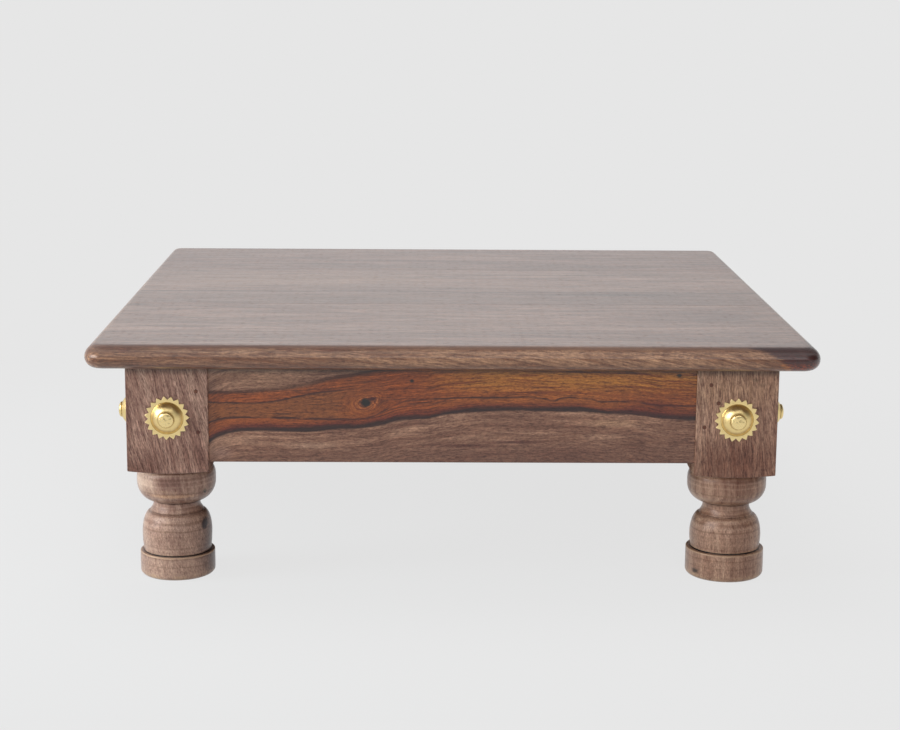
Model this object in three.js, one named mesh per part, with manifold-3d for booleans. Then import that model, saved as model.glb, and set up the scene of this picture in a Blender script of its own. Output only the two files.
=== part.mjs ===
// Bajot low table: a square sheesham top on four turned legs, dressed with brass sunbursts.
//
// Lengths are in millimetres. +X runs to the right along the front edge, +Y runs to the back and
// +Z runs up. The origin lies on the floor under the middle of the top.

import * as THREE from 'three';
import { mergeVertices } from 'three/addons/utils/BufferGeometryUtils.js';
import Module from 'manifold-3d';

const wasm = await Module();
wasm.setup();

// Overall size
const tableWidth = 600;
const tableDepth = 600;
const tableHeight = 206;

// Top: three boards glued edge to edge, the back one as wide as the depth leaves it
const topThickness = 18;
const topOverhang = 30;
const topCornerRadius = 12;
const bullnoseRadius = 8.6;
const frontBoardWidth = 225;
const middleBoardWidth = 217;

// Leg blank and the sizes that all four turnings share
const legWidth = 68;
const legArris = 1.2;
const shoulderRise = 2.6;
const bulbRadius = 33.5;
const bulbDrop = 31;
const bulbFullDrop = 13;
const bulbTopInset = 1;
const neckRadius = 20.3;
const neckFlare = 1.1;
const neckHeight = 7.5;
const grooveDepth = 0.9;
const grooveWidth = 1.2;
const bellShoulderHeight = 18.5;
const bellFootInset = 1;
const discRimInset = 0.5;
const discEdgeRadius = 4;

// Sizes that differ from leg to leg, because each is turned by hand
const slimTurning = { blockHeight: 93, bellRadius: 29.6, discRadius: 32, discHeight: 22 };
const stoutTurning = { blockHeight: 95, bellRadius: 30.3, discRadius: 33.7, discHeight: 24.5 };

// Apron rails and their tenons
const railHeight = 84;
const railThickness = 20;
const railSetback = 3;
const railArris = 1.2;
const tenonLength = 26;
const tenonThickness = 9;
const tenonShoulder = 10;
const mortiseRelief = 1;

// Pegs through the tenons, with their places as shares of the tenon's length and height
const pegRadius = 1.5;
const pegDepth = 24;
const pegPairShares = [[0.33, 0.25], [0.38, 0.79]];
const pegTrioShares = [[0.27, 0.34], [0.7, 0.66], [0.45, 0.9]];

// Stamped brass sunburst
const rosetteTipRadius = 18.6;
const rosetteRootRadius = 15.6;
const rosetteTeeth = 19;
const rosetteSheet = 0.9;
const rosetteDomeRadius = 13.2;
const rosetteDomeHeight = 6;
const rosetteSeatRadius = 7.2;
const rosetteCentreHeight = 46;

// Domed brass nail through each sunburst
const nailHeadRadius = 6.5;
const nailHeadHeight = 4;
const nailShankRadius = 1.1;
const nailBite = 16;
const nailPointLength = 3;

// Cleats inside the apron and the screws that draw the top down on them
const cleatSize = 18;
const cleatEndGap = 1;
const screwPlaceShare = 0.6;
const screwLength = 30;
const screwRadius = 1.8;
const screwHeadRadius = 3.6;
const screwHeadHeight = 2.4;
const screwPointLength = 4;

// Clearances and the length by which cutters run past what they cut
const fitGap = 0.3;
const cutOverrun = 2;
const weldDistance = 0.0003;

// Steps of the round forms
const turningSides = 24;
const archSteps = 5;
const discEdgeSteps = 2;
const arrisSteps = 2;
const bullnoseSteps = 3;
const domeSteps = 3;
const domeInsideSteps = 2;
const nailHeadSteps = 3;
const pegSides = 8;
const nailSides = 12;
const screwSides = 8;

// Planes and centre lines that several pieces share
const underside = tableHeight - topThickness;
const legFaceX = tableWidth / 2 - topOverhang;
const legFaceY = tableDepth / 2 - topOverhang;
const legInnerX = legFaceX - legWidth;
const legInnerY = legFaceY - legWidth;
const legCentreX = legFaceX - legWidth / 2;
const legCentreY = legFaceY - legWidth / 2;
const railBottom = underside - railHeight;
const railOuterX = legFaceX - railSetback;
const railOuterY = legFaceY - railSetback;
const railInnerX = railOuterX - railThickness;
const railInnerY = railOuterY - railThickness;
const tenonBottom = railBottom + tenonShoulder;
const tenonTop = underside - tenonShoulder;
const rosetteHeight = underside - rosetteCentreHeight;
const rosetteSeatTop = fitGap + rosetteSheet + rosetteDomeHeight;
const cleatBottom = underside - cleatSize;

// Finishes
const sheesham = new THREE.MeshStandardMaterial({ color: 0x7d5a47, roughness: 0.5, metalness: 0 });
const heartwood = new THREE.MeshStandardMaterial({ color: 0x84503a, roughness: 0.5, metalness: 0 });
const paleBatten = new THREE.MeshStandardMaterial({ color: 0x9a8064, roughness: 0.7, metalness: 0 });
const darkPeg = new THREE.MeshStandardMaterial({ color: 0x4a3028, roughness: 0.6, metalness: 0 });
const brass = new THREE.MeshStandardMaterial({ color: 0xd9b75c, roughness: 0.28, metalness: 1 });
const steel = new THREE.MeshStandardMaterial({ color: 0x8d8d8a, roughness: 0.4, metalness: 1 });

// Turns a closed three.js geometry into a solid that can be cut and joined
function toSolid(geometry) {
  const bare = geometry.clone();
  bare.deleteAttribute('normal');
  bare.deleteAttribute('uv');
  const welded = mergeVertices(bare, weldDistance);
  const corners = welded.index.array;
  const triangles = [];
  for (let i = 0; i < corners.length; i += 3) {
    const [a, b, c] = [corners[i], corners[i + 1], corners[i + 2]];
    if (a !== b && b !== c && c !== a) {
      triangles.push(a, b, c);
    }
  }
  return new wasm.Manifold(new wasm.Mesh({
    numProp: 3,
    vertProperties: new Float32Array(welded.attributes.position.array),
    triVerts: new Uint32Array(triangles),
  }));
}

// Turns a cut solid back into a geometry with flat-shaded faces
function toGeometry(solid) {
  const mesh = solid.getMesh();
  const geometry = new THREE.BufferGeometry();
  geometry.setAttribute('position', new THREE.BufferAttribute(mesh.vertProperties, mesh.numProp));
  geometry.setIndex(new THREE.BufferAttribute(mesh.triVerts, 1));
  geometry.computeVertexNormals();
  return geometry;
}

// A box between two values on each axis, given in either order
function box([xa, xb], [ya, yb], [za, zb]) {
  const shape = new THREE.BoxGeometry(Math.abs(xb - xa), Math.abs(yb - ya), Math.abs(zb - za));
  shape.translate((xa + xb) / 2, (ya + yb) / 2, (za + zb) / 2);
  return shape;
}

// A revolved profile of [radius, height] points, standing on the Z axis
function turned(profile, sides) {
  const points = profile.map(([radius, height]) => new THREE.Vector2(radius, height));
  return new THREE.LatheGeometry(points, sides).rotateX(Math.PI / 2);
}

// The rotation that makes what points along +Z point out of a vertical face of a leg instead
function outwardRotation(axis, side) {
  const quarterTurn = side * Math.PI / 2;
  return axis === 'x' ? new THREE.Euler(0, quarterTurn, 0) : new THREE.Euler(-quarterTurn, 0, 0);
}

// Part of an ellipse as [radius, height] points, with angles in quarter turns
function arch(centreRadius, centreHeight, reach, rise, from, to, steps) {
  const points = [];
  for (let i = 0; i <= steps; i += 1) {
    const angle = (from + (to - from) * i / steps) * Math.PI / 2;
    points.push([centreRadius + reach * Math.cos(angle), centreHeight + rise * Math.sin(angle)]);
  }
  return points;
}

// A rectangle around the origin with round corners
function roundedRectangle(width, height, radius) {
  const x = width / 2 - radius;
  const y = height / 2 - radius;
  const shape = new THREE.Shape();
  shape.absarc(x, y, radius, 0, Math.PI / 2);
  shape.absarc(-x, y, radius, Math.PI / 2, Math.PI);
  shape.absarc(-x, -y, radius, Math.PI, Math.PI * 3 / 2);
  shape.absarc(x, -y, radius, Math.PI * 3 / 2, Math.PI * 2);
  shape.closePath();
  return shape;
}

// The four corners of the table, with the direction of each outer face
const corners = [
  { name: 'front_left', sideX: -1, sideY: -1, turning: slimTurning, frontPegs: pegPairShares },
  { name: 'front_right', sideX: 1, sideY: -1, turning: stoutTurning, frontPegs: pegTrioShares },
  { name: 'back_left', sideX: -1, sideY: 1, turning: stoutTurning, frontPegs: pegPairShares },
  { name: 'back_right', sideX: 1, sideY: 1, turning: slimTurning, frontPegs: pegPairShares },
];

// The places of the pegs through the tenons of one corner. A peg of the 'y' joint goes in through
// the leg's front or back face, and a peg of the 'x' joint through its left or right face.
function pegsOf(corner) {
  const place = (shares, axis, index) => {
    const [lengthShare, heightShare] = shares;
    const along = tenonLength * lengthShare;
    const height = tenonBottom + (tenonTop - tenonBottom) * heightShare;
    const x = axis === 'y' ? legInnerX + along : legFaceX;
    const y = axis === 'y' ? legFaceY : legInnerY + along;
    return { axis, index, position: [corner.sideX * x, corner.sideY * y, height] };
  };
  const onY = corner.frontPegs.map((shares, index) => place(shares, 'y', index));
  const onX = pegPairShares.map((shares, index) => place(shares, 'x', index));
  return [...onY, ...onX];
}

// The places of the two sunbursts of one corner
function rosettesOf(corner) {
  return [
    { axis: 'y', position: [corner.sideX * legCentreX, corner.sideY * legFaceY, rosetteHeight] },
    { axis: 'x', position: [corner.sideX * legFaceX, corner.sideY * legCentreY, rosetteHeight] },
  ];
}

// The side on which a face of a corner looks out, along the face's own axis
function sideOf(corner, axis) {
  return axis === 'x' ? corner.sideX : corner.sideY;
}

// A round bar or hole that runs into the wood from a point on a vertical face
function inwardRod(corner, { axis, position }, radius, depth, proud, sides) {
  const rod = new THREE.CylinderGeometry(radius, radius, depth + proud, sides);
  rod.rotateX(Math.PI / 2);
  rod.translate(0, 0, (proud - depth) / 2);
  const rotation = outwardRotation(axis, sideOf(corner, axis));
  rod.applyMatrix4(new THREE.Matrix4().makeRotationFromEuler(rotation));
  return rod.translate(...position);
}

// The outline of a turned leg from the middle of its foot to the middle of its top. The blank's
// corners lie inside the last two points, so the square block keeps its own faces.
function legProfile({ blockHeight, bellRadius, discRadius, discHeight }) {
  const blockBottom = underside - blockHeight;
  const bulbFoot = blockBottom - bulbDrop;
  const bulbMiddle = blockBottom - bulbFullDrop;
  const neckFoot = bulbFoot - neckHeight;
  const bellMiddle = neckFoot - bellShoulderHeight;
  const neckFootRadius = neckRadius + neckFlare;
  const blankReach = legWidth / Math.SQRT2 + cutOverrun;
  const shoulderSlope = shoulderRise / (legWidth / Math.SQRT2 - bulbRadius);
  const shoulderTop = blockBottom + shoulderSlope * (blankReach - bulbRadius);
  const bellReach = bellRadius - neckFootRadius;
  const bulbReach = bulbRadius - neckRadius;
  return [
    [0, 0],
    ...arch(
      discRadius - discEdgeRadius,
      discEdgeRadius,
      discEdgeRadius,
      discEdgeRadius,
      -1,
      0,
      discEdgeSteps,
    ),
    [discRadius, discHeight - discRimInset],
    [discRadius - discRimInset, discHeight],
    [bellRadius - bellFootInset, discHeight],
    [bellRadius - bellFootInset - grooveDepth, discHeight + grooveWidth / 2],
    [bellRadius - bellFootInset, discHeight + grooveWidth],
    ...arch(neckFootRadius, bellMiddle, bellReach, bellShoulderHeight, 0, 1, archSteps),
    [neckFootRadius - grooveDepth, neckFoot + grooveWidth / 2],
    [neckFootRadius, neckFoot + grooveWidth],
    [neckRadius, bulbFoot - grooveWidth],
    [neckRadius - grooveDepth, bulbFoot - grooveWidth / 2],
    ...arch(neckRadius, bulbMiddle, bulbReach, bulbMiddle - bulbFoot, -1, 0, archSteps),
    [bulbRadius, blockBottom - bulbFullDrop / 2],
    [bulbRadius - bulbTopInset, blockBottom],
    [blankReach, shoulderTop],
    [blankReach, underside],
    [0, underside],
  ];
}

// The square blank that a leg is turned from, with eased edges
function legBlank() {
  return new THREE.ExtrudeGeometry(roundedRectangle(legWidth, legWidth, legArris), {
    depth: underside,
    bevelEnabled: false,
    curveSegments: arrisSteps,
  });
}

// One leg: the blank, turned below the block, with its mortises, peg holes and nail holes
function leg(corner) {
  const centreX = corner.sideX * legCentreX;
  const centreY = corner.sideY * legCentreY;
  const turning = turned(legProfile(corner.turning), turningSides).translate(centreX, centreY, 0);
  const blank = legBlank().translate(centreX, centreY, 0);
  const mortiseZ = [tenonBottom - fitGap, tenonTop + fitGap];
  const mortiseDepth = tenonLength + mortiseRelief;
  const mortiseX = box(
    [corner.sideX * (legInnerX - cutOverrun), corner.sideX * (legInnerX + mortiseDepth)],
    mortiseBand(corner.sideY, railOuterY),
    mortiseZ,
  );
  const mortiseY = box(
    mortiseBand(corner.sideX, railOuterX),
    [corner.sideY * (legInnerY - cutOverrun), corner.sideY * (legInnerY + mortiseDepth)],
    mortiseZ,
  );
  const pegHoles = pegsOf(corner).map((peg) => (
    inwardRod(corner, peg, pegRadius + fitGap, pegDepth + fitGap, cutOverrun, pegSides)
  ));
  const nailHoles = rosettesOf(corner).map((rosette) => (
    inwardRod(corner, rosette, nailShankRadius + fitGap, nailBite + fitGap, cutOverrun, pegSides)
  ));
  let solid = toSolid(turning).intersect(toSolid(blank));
  for (const cutter of [mortiseX, mortiseY, ...pegHoles, ...nailHoles]) {
    solid = solid.subtract(toSolid(cutter));
  }
  return toGeometry(solid);
}

// The two sides of a tenon, measured from the outer face of its rail
function tenonBand(side, railOuter) {
  const middle = railOuter - railThickness / 2;
  return [side * (middle - tenonThickness / 2), side * (middle + tenonThickness / 2)];
}

// The two sides of the mortise that takes that tenon
function mortiseBand(side, railOuter) {
  const [inner, outer] = tenonBand(side, railOuter);
  return [inner - side * fitGap, outer + side * fitGap];
}

// A rail's cross-section as seen along its length, with eased lower edges
function railSection() {
  const shape = new THREE.Shape();
  shape.moveTo(0, railHeight);
  shape.lineTo(0, railArris);
  shape.absarc(railArris, railArris, railArris, Math.PI, Math.PI * 3 / 2);
  shape.lineTo(railThickness - railArris, 0);
  shape.absarc(railThickness - railArris, railArris, railArris, -Math.PI / 2, 0);
  shape.lineTo(railThickness, railHeight);
  shape.closePath();
  return shape;
}

// One rail with a tenon at each end
function rail(along, side) {
  const alongX = along === 'x';
  const innerFace = alongX ? legInnerX : legInnerY;
  const railOuter = alongX ? railOuterY : railOuterX;
  const halfLength = innerFace - fitGap;
  const body = new THREE.ExtrudeGeometry(railSection(), {
    depth: 2 * halfLength,
    bevelEnabled: false,
    curveSegments: arrisSteps,
  });
  body.translate(-railThickness / 2, 0, -halfLength);
  body.rotateX(Math.PI / 2);
  if (alongX) {
    body.rotateZ(Math.PI / 2);
  }
  const middle = side * (railOuter - railThickness / 2);
  body.translate(alongX ? 0 : middle, alongX ? middle : 0, railBottom);
  const tenonSpan = [-innerFace - tenonLength, innerFace + tenonLength];
  const band = tenonBand(side, railOuter);
  const tenonZ = [tenonBottom, tenonTop];
  const tenons = alongX ? box(tenonSpan, band, tenonZ) : box(band, tenonSpan, tenonZ);
  let solid = toSolid(body).add(toSolid(tenons));
  for (const corner of corners.filter((each) => side === (alongX ? each.sideY : each.sideX))) {
    const pegAxis = alongX ? 'y' : 'x';
    for (const peg of pegsOf(corner).filter((each) => each.axis === pegAxis)) {
      const hole = inwardRod(corner, peg, pegRadius + fitGap, pegDepth, cutOverrun, pegSides);
      solid = solid.subtract(toSolid(hole));
    }
  }
  return toGeometry(solid);
}

// The places where a screw goes up through the cleat of one side
function screwPlaces(along, side) {
  const alongX = along === 'x';
  const reach = (alongX ? legInnerX : legInnerY) * screwPlaceShare;
  const line = side * ((alongX ? railInnerY : railInnerX) - cleatSize / 2);
  return [-reach, reach].map((place) => (alongX ? [place, line] : [line, place]));
}

// The outline of a countersunk screw with its head at the bottom, or of the hole that it needs
function screwProfile(gap) {
  const headRadius = screwHeadRadius + gap;
  const shankRadius = screwRadius + gap;
  const tip = screwLength + gap;
  return [
    [0, 0],
    [headRadius, 0],
    [shankRadius, screwHeadHeight],
    [shankRadius, tip - screwPointLength],
    [0, tip],
  ];
}

// The cutter for a screw's hole. It runs below the cleat, so that the countersink opens cleanly.
function screwHole([x, y]) {
  const [, ...rest] = screwProfile(fitGap);
  const [[headRadius]] = rest;
  const profile = [[0, -cutOverrun], [headRadius, -cutOverrun], ...rest];
  return turned(profile, screwSides).translate(x, y, cleatBottom);
}

// The four sides of the apron. A rail along 'x' is the front or the back one.
const apronSides = [
  { name: 'front', along: 'x', side: -1 },
  { name: 'back', along: 'x', side: 1 },
  { name: 'left', along: 'y', side: -1 },
  { name: 'right', along: 'y', side: 1 },
];

// One cleat, glued in the angle between its rail and the top
function cleat({ along, side }) {
  const alongX = along === 'x';
  const reach = (alongX ? legInnerX : legInnerY) - cleatEndGap;
  const railInner = alongX ? railInnerY : railInnerX;
  const lengthRange = [-reach, reach];
  const depthRange = [side * (railInner - cleatSize), side * railInner];
  const heightRange = [cleatBottom, underside];
  const bar = alongX
    ? box(lengthRange, depthRange, heightRange)
    : box(depthRange, lengthRange, heightRange);
  let solid = toSolid(bar);
  for (const place of screwPlaces(along, side)) {
    solid = solid.subtract(toSolid(screwHole(place)));
  }
  return toGeometry(solid);
}

// The whole top before it is parted into boards: rounded corners, bullnose and screw holes
function topPlate() {
  const outline = roundedRectangle(
    tableWidth - 2 * bullnoseRadius,
    tableDepth - 2 * bullnoseRadius,
    topCornerRadius - bullnoseRadius,
  );
  const plate = new THREE.ExtrudeGeometry(outline, {
    depth: topThickness - 2 * bullnoseRadius,
    bevelThickness: bullnoseRadius,
    bevelSize: bullnoseRadius,
    bevelSegments: bullnoseSteps,
    curveSegments: bullnoseSteps,
  });
  plate.translate(0, 0, underside + bullnoseRadius);
  let solid = toSolid(plate);
  for (const { along, side } of apronSides) {
    for (const place of screwPlaces(along, side)) {
      solid = solid.subtract(toSolid(screwHole(place)));
    }
  }
  return solid;
}

// The boards of the top, from the front to the back
function topBoards() {
  const plate = topPlate();
  const front = -tableDepth / 2;
  const seams = [front + frontBoardWidth, front + frontBoardWidth + middleBoardWidth];
  const edges = [front - cutOverrun, ...seams, -front + cutOverrun];
  const acrossX = [-tableWidth / 2 - cutOverrun, tableWidth / 2 + cutOverrun];
  const acrossZ = [underside - cutOverrun, tableHeight + cutOverrun];
  return ['front', 'middle', 'back'].map((name, index) => {
    const band = box(acrossX, [edges[index], edges[index + 1]], acrossZ);
    return { name: `top_board_${name}`, geometry: toGeometry(plate.intersect(toSolid(band))) };
  });
}

// The stamped sunburst: a flat toothed rim that rises to a dome with a flat seat for the nail.
// It stands on the XY plane and looks along +Z.
function rosetteGeometry() {
  const star = new THREE.Shape();
  for (let i = 0; i < 2 * rosetteTeeth; i += 1) {
    const radius = i % 2 === 0 ? rosetteTipRadius : rosetteRootRadius;
    const angle = Math.PI / 2 + Math.PI * i / rosetteTeeth;
    const point = [radius * Math.cos(angle), radius * Math.sin(angle)];
    if (i === 0) {
      star.moveTo(...point);
    } else {
      star.lineTo(...point);
    }
  }
  star.closePath();
  const rimHole = new THREE.Path();
  const rimHoleRadius = rosetteDomeRadius - rosetteSheet;
  rimHole.absarc(0, 0, rimHoleRadius, Math.PI * 3 / 2, -Math.PI / 2, true);
  star.holes.push(rimHole);
  const rim = new THREE.ExtrudeGeometry(star, {
    depth: rosetteSheet,
    bevelEnabled: false,
    curveSegments: rosetteTeeth,
  });
  const dome = turned(domeShellProfile(), rosetteTeeth);
  const solid = toSolid(rim).add(toSolid(dome));
  return toGeometry(solid).translate(0, 0, fitGap);
}

// The wall of the dome, as a closed outline that never reaches the axis
function domeShellProfile() {
  const outer = capArc(
    rosetteDomeRadius,
    rosetteSeatRadius,
    rosetteDomeHeight,
    rosetteSheet,
    domeSteps,
  );
  const inner = capArc(
    rosetteDomeRadius - rosetteSheet,
    rosetteSeatRadius - rosetteSheet,
    rosetteDomeHeight,
    0,
    domeInsideSteps,
  );
  const bore = nailShankRadius + fitGap;
  const seatTop = rosetteSheet + rosetteDomeHeight;
  return [
    [rosetteDomeRadius, 0],
    ...outer,
    [bore, seatTop],
    [bore, rosetteDomeHeight],
    ...inner.reverse(),
    [rosetteDomeRadius, 0],
  ];
}

// The part of a ball's outline between two radii that differ in height by a given rise
function capArc(outerRadius, innerRadius, rise, base, steps) {
  const spread = outerRadius * outerRadius - innerRadius * innerRadius;
  const centreDrop = (spread - rise * rise) / (2 * rise);
  const ballRadius = Math.hypot(outerRadius, centreDrop);
  const from = Math.atan2(centreDrop, outerRadius);
  const to = Math.atan2(centreDrop + rise, innerRadius);
  const points = [];
  for (let i = 0; i <= steps; i += 1) {
    const angle = from + (to - from) * i / steps;
    points.push([
      ballRadius * Math.cos(angle),
      base - centreDrop + ballRadius * Math.sin(angle),
    ]);
  }
  return points;
}

// The domed nail, with its shank along -Z and its head above the sunburst's seat
function nailGeometry() {
  const headBottom = rosetteSeatTop + fitGap;
  return turned([
    [0, -nailBite],
    [nailShankRadius, nailPointLength - nailBite],
    [nailShankRadius, headBottom],
    ...arch(0, headBottom, nailHeadRadius, nailHeadHeight, 0, 1, nailHeadSteps),
  ], nailSides);
}

const table = new THREE.Group();

function place(name, geometry, material) {
  const mesh = new THREE.Mesh(geometry, material);
  mesh.name = name;
  table.add(mesh);
  return mesh;
}

// Top
for (const board of topBoards()) {
  place(board.name, board.geometry, sheesham);
}

// Legs with their pegs
for (const corner of corners) {
  place(`leg_${corner.name}`, leg(corner), sheesham);
  for (const peg of pegsOf(corner)) {
    const face = peg.axis === 'y' ? 'end' : 'side';
    const pin = inwardRod(corner, peg, pegRadius, pegDepth, 0, pegSides);
    place(`peg_${corner.name}_${face}_${peg.index + 1}`, pin, darkPeg);
  }
}

// Rails, cleats and screws
for (const each of apronSides) {
  place(`rail_${each.name}`, rail(each.along, each.side), heartwood);
  place(`cleat_${each.name}`, cleat(each), paleBatten);
  screwPlaces(each.along, each.side).forEach(([x, y], index) => {
    const screw = place(`screw_${each.name}_${index + 1}`, turned(screwProfile(0), screwSides), steel);
    screw.position.set(x, y, cleatBottom);
  });
}

// Sunbursts and their nails
const rosetteShape = rosetteGeometry();
const nailShape = nailGeometry();
for (const corner of corners) {
  for (const { axis, position } of rosettesOf(corner)) {
    const face = axis === 'y' ? 'end' : 'side';
    const outward = new THREE.Group();
    outward.position.set(...position);
    outward.rotation.copy(outwardRotation(axis, sideOf(corner, axis)));
    outward.add(place(`rosette_${corner.name}_${face}`, rosetteShape, brass));
    outward.add(place(`nail_${corner.name}_${face}`, nailShape, brass));
    table.add(outward);
  }
}

export default table;
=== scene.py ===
"""Dresses the bajot low table: board top, turned legs, figured apron and brass sunbursts."""

import logging
import math
from collections.abc import Callable, Sequence
from dataclasses import dataclass, field
from enum import Enum
from typing import ClassVar

import bmesh
import bpy
from mathutils import Matrix, Vector, noise


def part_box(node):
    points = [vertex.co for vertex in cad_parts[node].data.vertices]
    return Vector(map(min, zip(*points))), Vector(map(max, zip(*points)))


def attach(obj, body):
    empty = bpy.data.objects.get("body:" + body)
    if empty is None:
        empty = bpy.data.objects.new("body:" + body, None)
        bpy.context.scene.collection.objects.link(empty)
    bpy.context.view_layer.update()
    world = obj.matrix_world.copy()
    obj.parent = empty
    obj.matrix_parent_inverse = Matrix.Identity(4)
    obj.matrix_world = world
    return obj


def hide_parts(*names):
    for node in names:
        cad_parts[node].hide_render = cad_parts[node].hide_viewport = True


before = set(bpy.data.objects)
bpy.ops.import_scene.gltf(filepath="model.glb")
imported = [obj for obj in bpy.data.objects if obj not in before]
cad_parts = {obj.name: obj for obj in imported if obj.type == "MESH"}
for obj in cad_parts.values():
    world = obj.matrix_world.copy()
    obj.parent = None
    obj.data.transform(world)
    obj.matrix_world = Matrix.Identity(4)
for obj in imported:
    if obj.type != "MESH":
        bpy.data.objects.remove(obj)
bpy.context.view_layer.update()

LOG = logging.getLogger("bajot_table")

MM = 0.001
ROOT_BODY = "root"

# Sizes that several pieces share, in millimetres.
TOP_FACE = 206.0
TOP_UNDERSIDE = 188.0
LEG_FACE = 270.0
RAIL_FACE = 267.0
RAIL_BOTTOM = 104.0

Colour = tuple[float, float, float, float]
Triple = tuple[float, float, float]
Pair = tuple[float, float]
Row = tuple[float, float, float, float]
Socket = bpy.types.NodeSocket
Feed = Socket | float | Triple | Colour


# --------------------------------------------------------------------------------------------
# Colours
# --------------------------------------------------------------------------------------------

GLOSS_VEIL = 0.034
DARKEST = 0.004


def linear(level: float) -> float:
    """Turns one sRGB level from 0 to 255 into a linear share."""
    share = level / 255
    return share / 12.92 if share <= 0.04045 else ((share + 0.055) / 1.055) ** 2.4


def paint(*levels: float) -> Colour:
    """Gives the colour of a bare surface from its red, green and blue sRGB levels."""
    return (*(linear(level) for level in levels), 1.0)


def wood(*levels: float) -> Colour:
    """Gives the colour of wood under wax, which looks like the given levels once it shines.

    Args:
        *levels: Red, green and blue as sRGB levels from 0 to 255.

    Returns:
        The linear colour without the pale veil that the wax reflects.
    """
    return (*(max(linear(level) - GLOSS_VEIL, DARKEST) for level in levels), 1.0)


# --------------------------------------------------------------------------------------------
# Shader nodes
# --------------------------------------------------------------------------------------------


class Axis(Enum):
    """The table's own directions."""

    X = 0
    Y = 1
    Z = 2


class Graph:
    """Short calls that add nodes to one node tree."""

    def __init__(self, tree: bpy.types.NodeTree) -> None:
        """Keeps the tree that the nodes go into."""
        self.tree = tree

    def node(self, kind: str, **settings: object) -> bpy.types.Node:
        """Adds one node with its properties."""
        made = self.tree.nodes.new(kind)
        for name, value in settings.items():
            setattr(made, name, value)
        return made

    def feed(self, socket: Socket, value: Feed) -> None:
        """Links a socket to another one, or writes a constant into it."""
        if isinstance(value, Socket):
            self.tree.links.new(value, socket)
        else:
            socket.default_value = value

    def put(self, kind: str, feeds: dict[int | str, Feed], result: int | str = 0,
            **settings: object) -> Socket:
        """Adds a node, feeds it and gives one of its outputs.

        Args:
            kind: Blender's name for the node.
            feeds: What goes into its inputs, by their numbers or names.
            result: The output's number or name.
            **settings: The node's properties.

        Returns:
            The output's socket.
        """
        made = self.node(kind, **settings)
        for place, value in feeds.items():
            self.feed(made.inputs[place], value)
        return made.outputs[result]

    def math(self, operation: str, *values: Feed) -> Socket:
        """Adds a Math node on one to three values and gives its result."""
        return self.put("ShaderNodeMath", dict(enumerate(values)), operation=operation)

    def chain(self, operation: str, values: Sequence[Feed]) -> Feed:
        """Brings any number of values together, two at a time."""
        total = values[0]
        for value in values[1:]:
            total = self.math(operation, total, value)
        return total

    def add(self, *values: Feed) -> Feed:
        """Adds up values."""
        return self.chain("ADD", values)

    def times(self, *values: Feed) -> Feed:
        """Multiplies values."""
        return self.chain("MULTIPLY", values)

    def most(self, *values: Feed) -> Feed:
        """Gives the largest of some values."""
        return self.chain("MAXIMUM", values)

    def less(self, first: Feed, second: Feed) -> Socket:
        """Takes the second value from the first one."""
        return self.math("SUBTRACT", first, second)

    def share(self, first: Feed, second: Feed) -> Socket:
        """Divides the first value by the second one."""
        return self.math("DIVIDE", first, second)

    def size(self, value: Feed) -> Socket:
        """Gives a value without its sign."""
        return self.math("ABSOLUTE", value)

    def around(self, value: Feed, amount: float) -> Socket:
        """Turns a value from 0 to 1 into one that swings by an amount to either side of zero."""
        return self.math("MULTIPLY_ADD", value, 2 * amount, -amount)

    def ramp(self, value: Feed, low: Feed, high: Feed, start: Feed = 0.0,
             end: Feed = 1.0) -> Socket:
        """Adds a smooth step.

        Args:
            value: What is measured.
            low: Where the step starts.
            high: Where the step ends.
            start: The result at low.
            end: The result at high.

        Returns:
            The result's socket.
        """
        return self.put("ShaderNodeMapRange", dict(enumerate((value, low, high, start, end))),
                        interpolation_type="SMOOTHSTEP")

    def vector(self, operation: str, first: Feed, second: Feed) -> Socket:
        """Adds a Vector Math node on two vectors."""
        result = "Value" if operation == "DOT_PRODUCT" else "Vector"
        return self.put("ShaderNodeVectorMath", {0: first, 1: second}, result, operation=operation)

    def length(self, vector: Feed) -> Socket:
        """Gives the length of a vector."""
        return self.put("ShaderNodeVectorMath", {0: vector}, "Value", operation="LENGTH")

    def split(self, vector: Feed) -> list[Socket]:
        """Gives the three parts of a vector."""
        made = self.node("ShaderNodeSeparateXYZ")
        self.feed(made.inputs[0], vector)
        return list(made.outputs)

    def join(self, x: Feed, y: Feed, z: Feed) -> Socket:
        """Makes a vector from three values."""
        return self.put("ShaderNodeCombineXYZ", {0: x, 1: y, 2: z})

    def mapped(self, position: Feed, turn: Triple, shift: Triple = (0.0, 0.0, 0.0)) -> Socket:
        """Turns a position by angles in radians, and shifts it."""
        return self.put("ShaderNodeMapping",
                        {"Vector": position, "Rotation": turn, "Location": shift})

    def noise(self, position: Feed, scale: Feed, detail: float = 2.0, roughness: float = 0.5,
              distortion: float = 0.0) -> Socket:
        """Adds a Noise texture.

        Args:
            position: Where it is read.
            scale: Spots for each unit of the position.
            detail: The number of finer layers.
            roughness: The strength of the finer layers.
            distortion: How far the spots are smeared.

        Returns:
            The noise from 0 to 1.
        """
        return self.put("ShaderNodeTexNoise", {
            "Vector": position, "Scale": scale, "Detail": detail, "Roughness": roughness,
            "Distortion": distortion}, "Fac")

    def stretched(self, position: Feed, squeeze: Triple, *sizes: float) -> Socket:
        """Adds a Noise texture on a position that is squeezed first."""
        return self.noise(self.vector("MULTIPLY", position, squeeze), *sizes)

    def noise_line(self, place: Feed, scale: float, detail: float = 2.0) -> Socket:
        """Adds a Noise texture that changes along one value only."""
        return self.put("ShaderNodeTexNoise", {"W": place, "Scale": scale, "Detail": detail}, "Fac",
                        noise_dimensions="1D")

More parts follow.
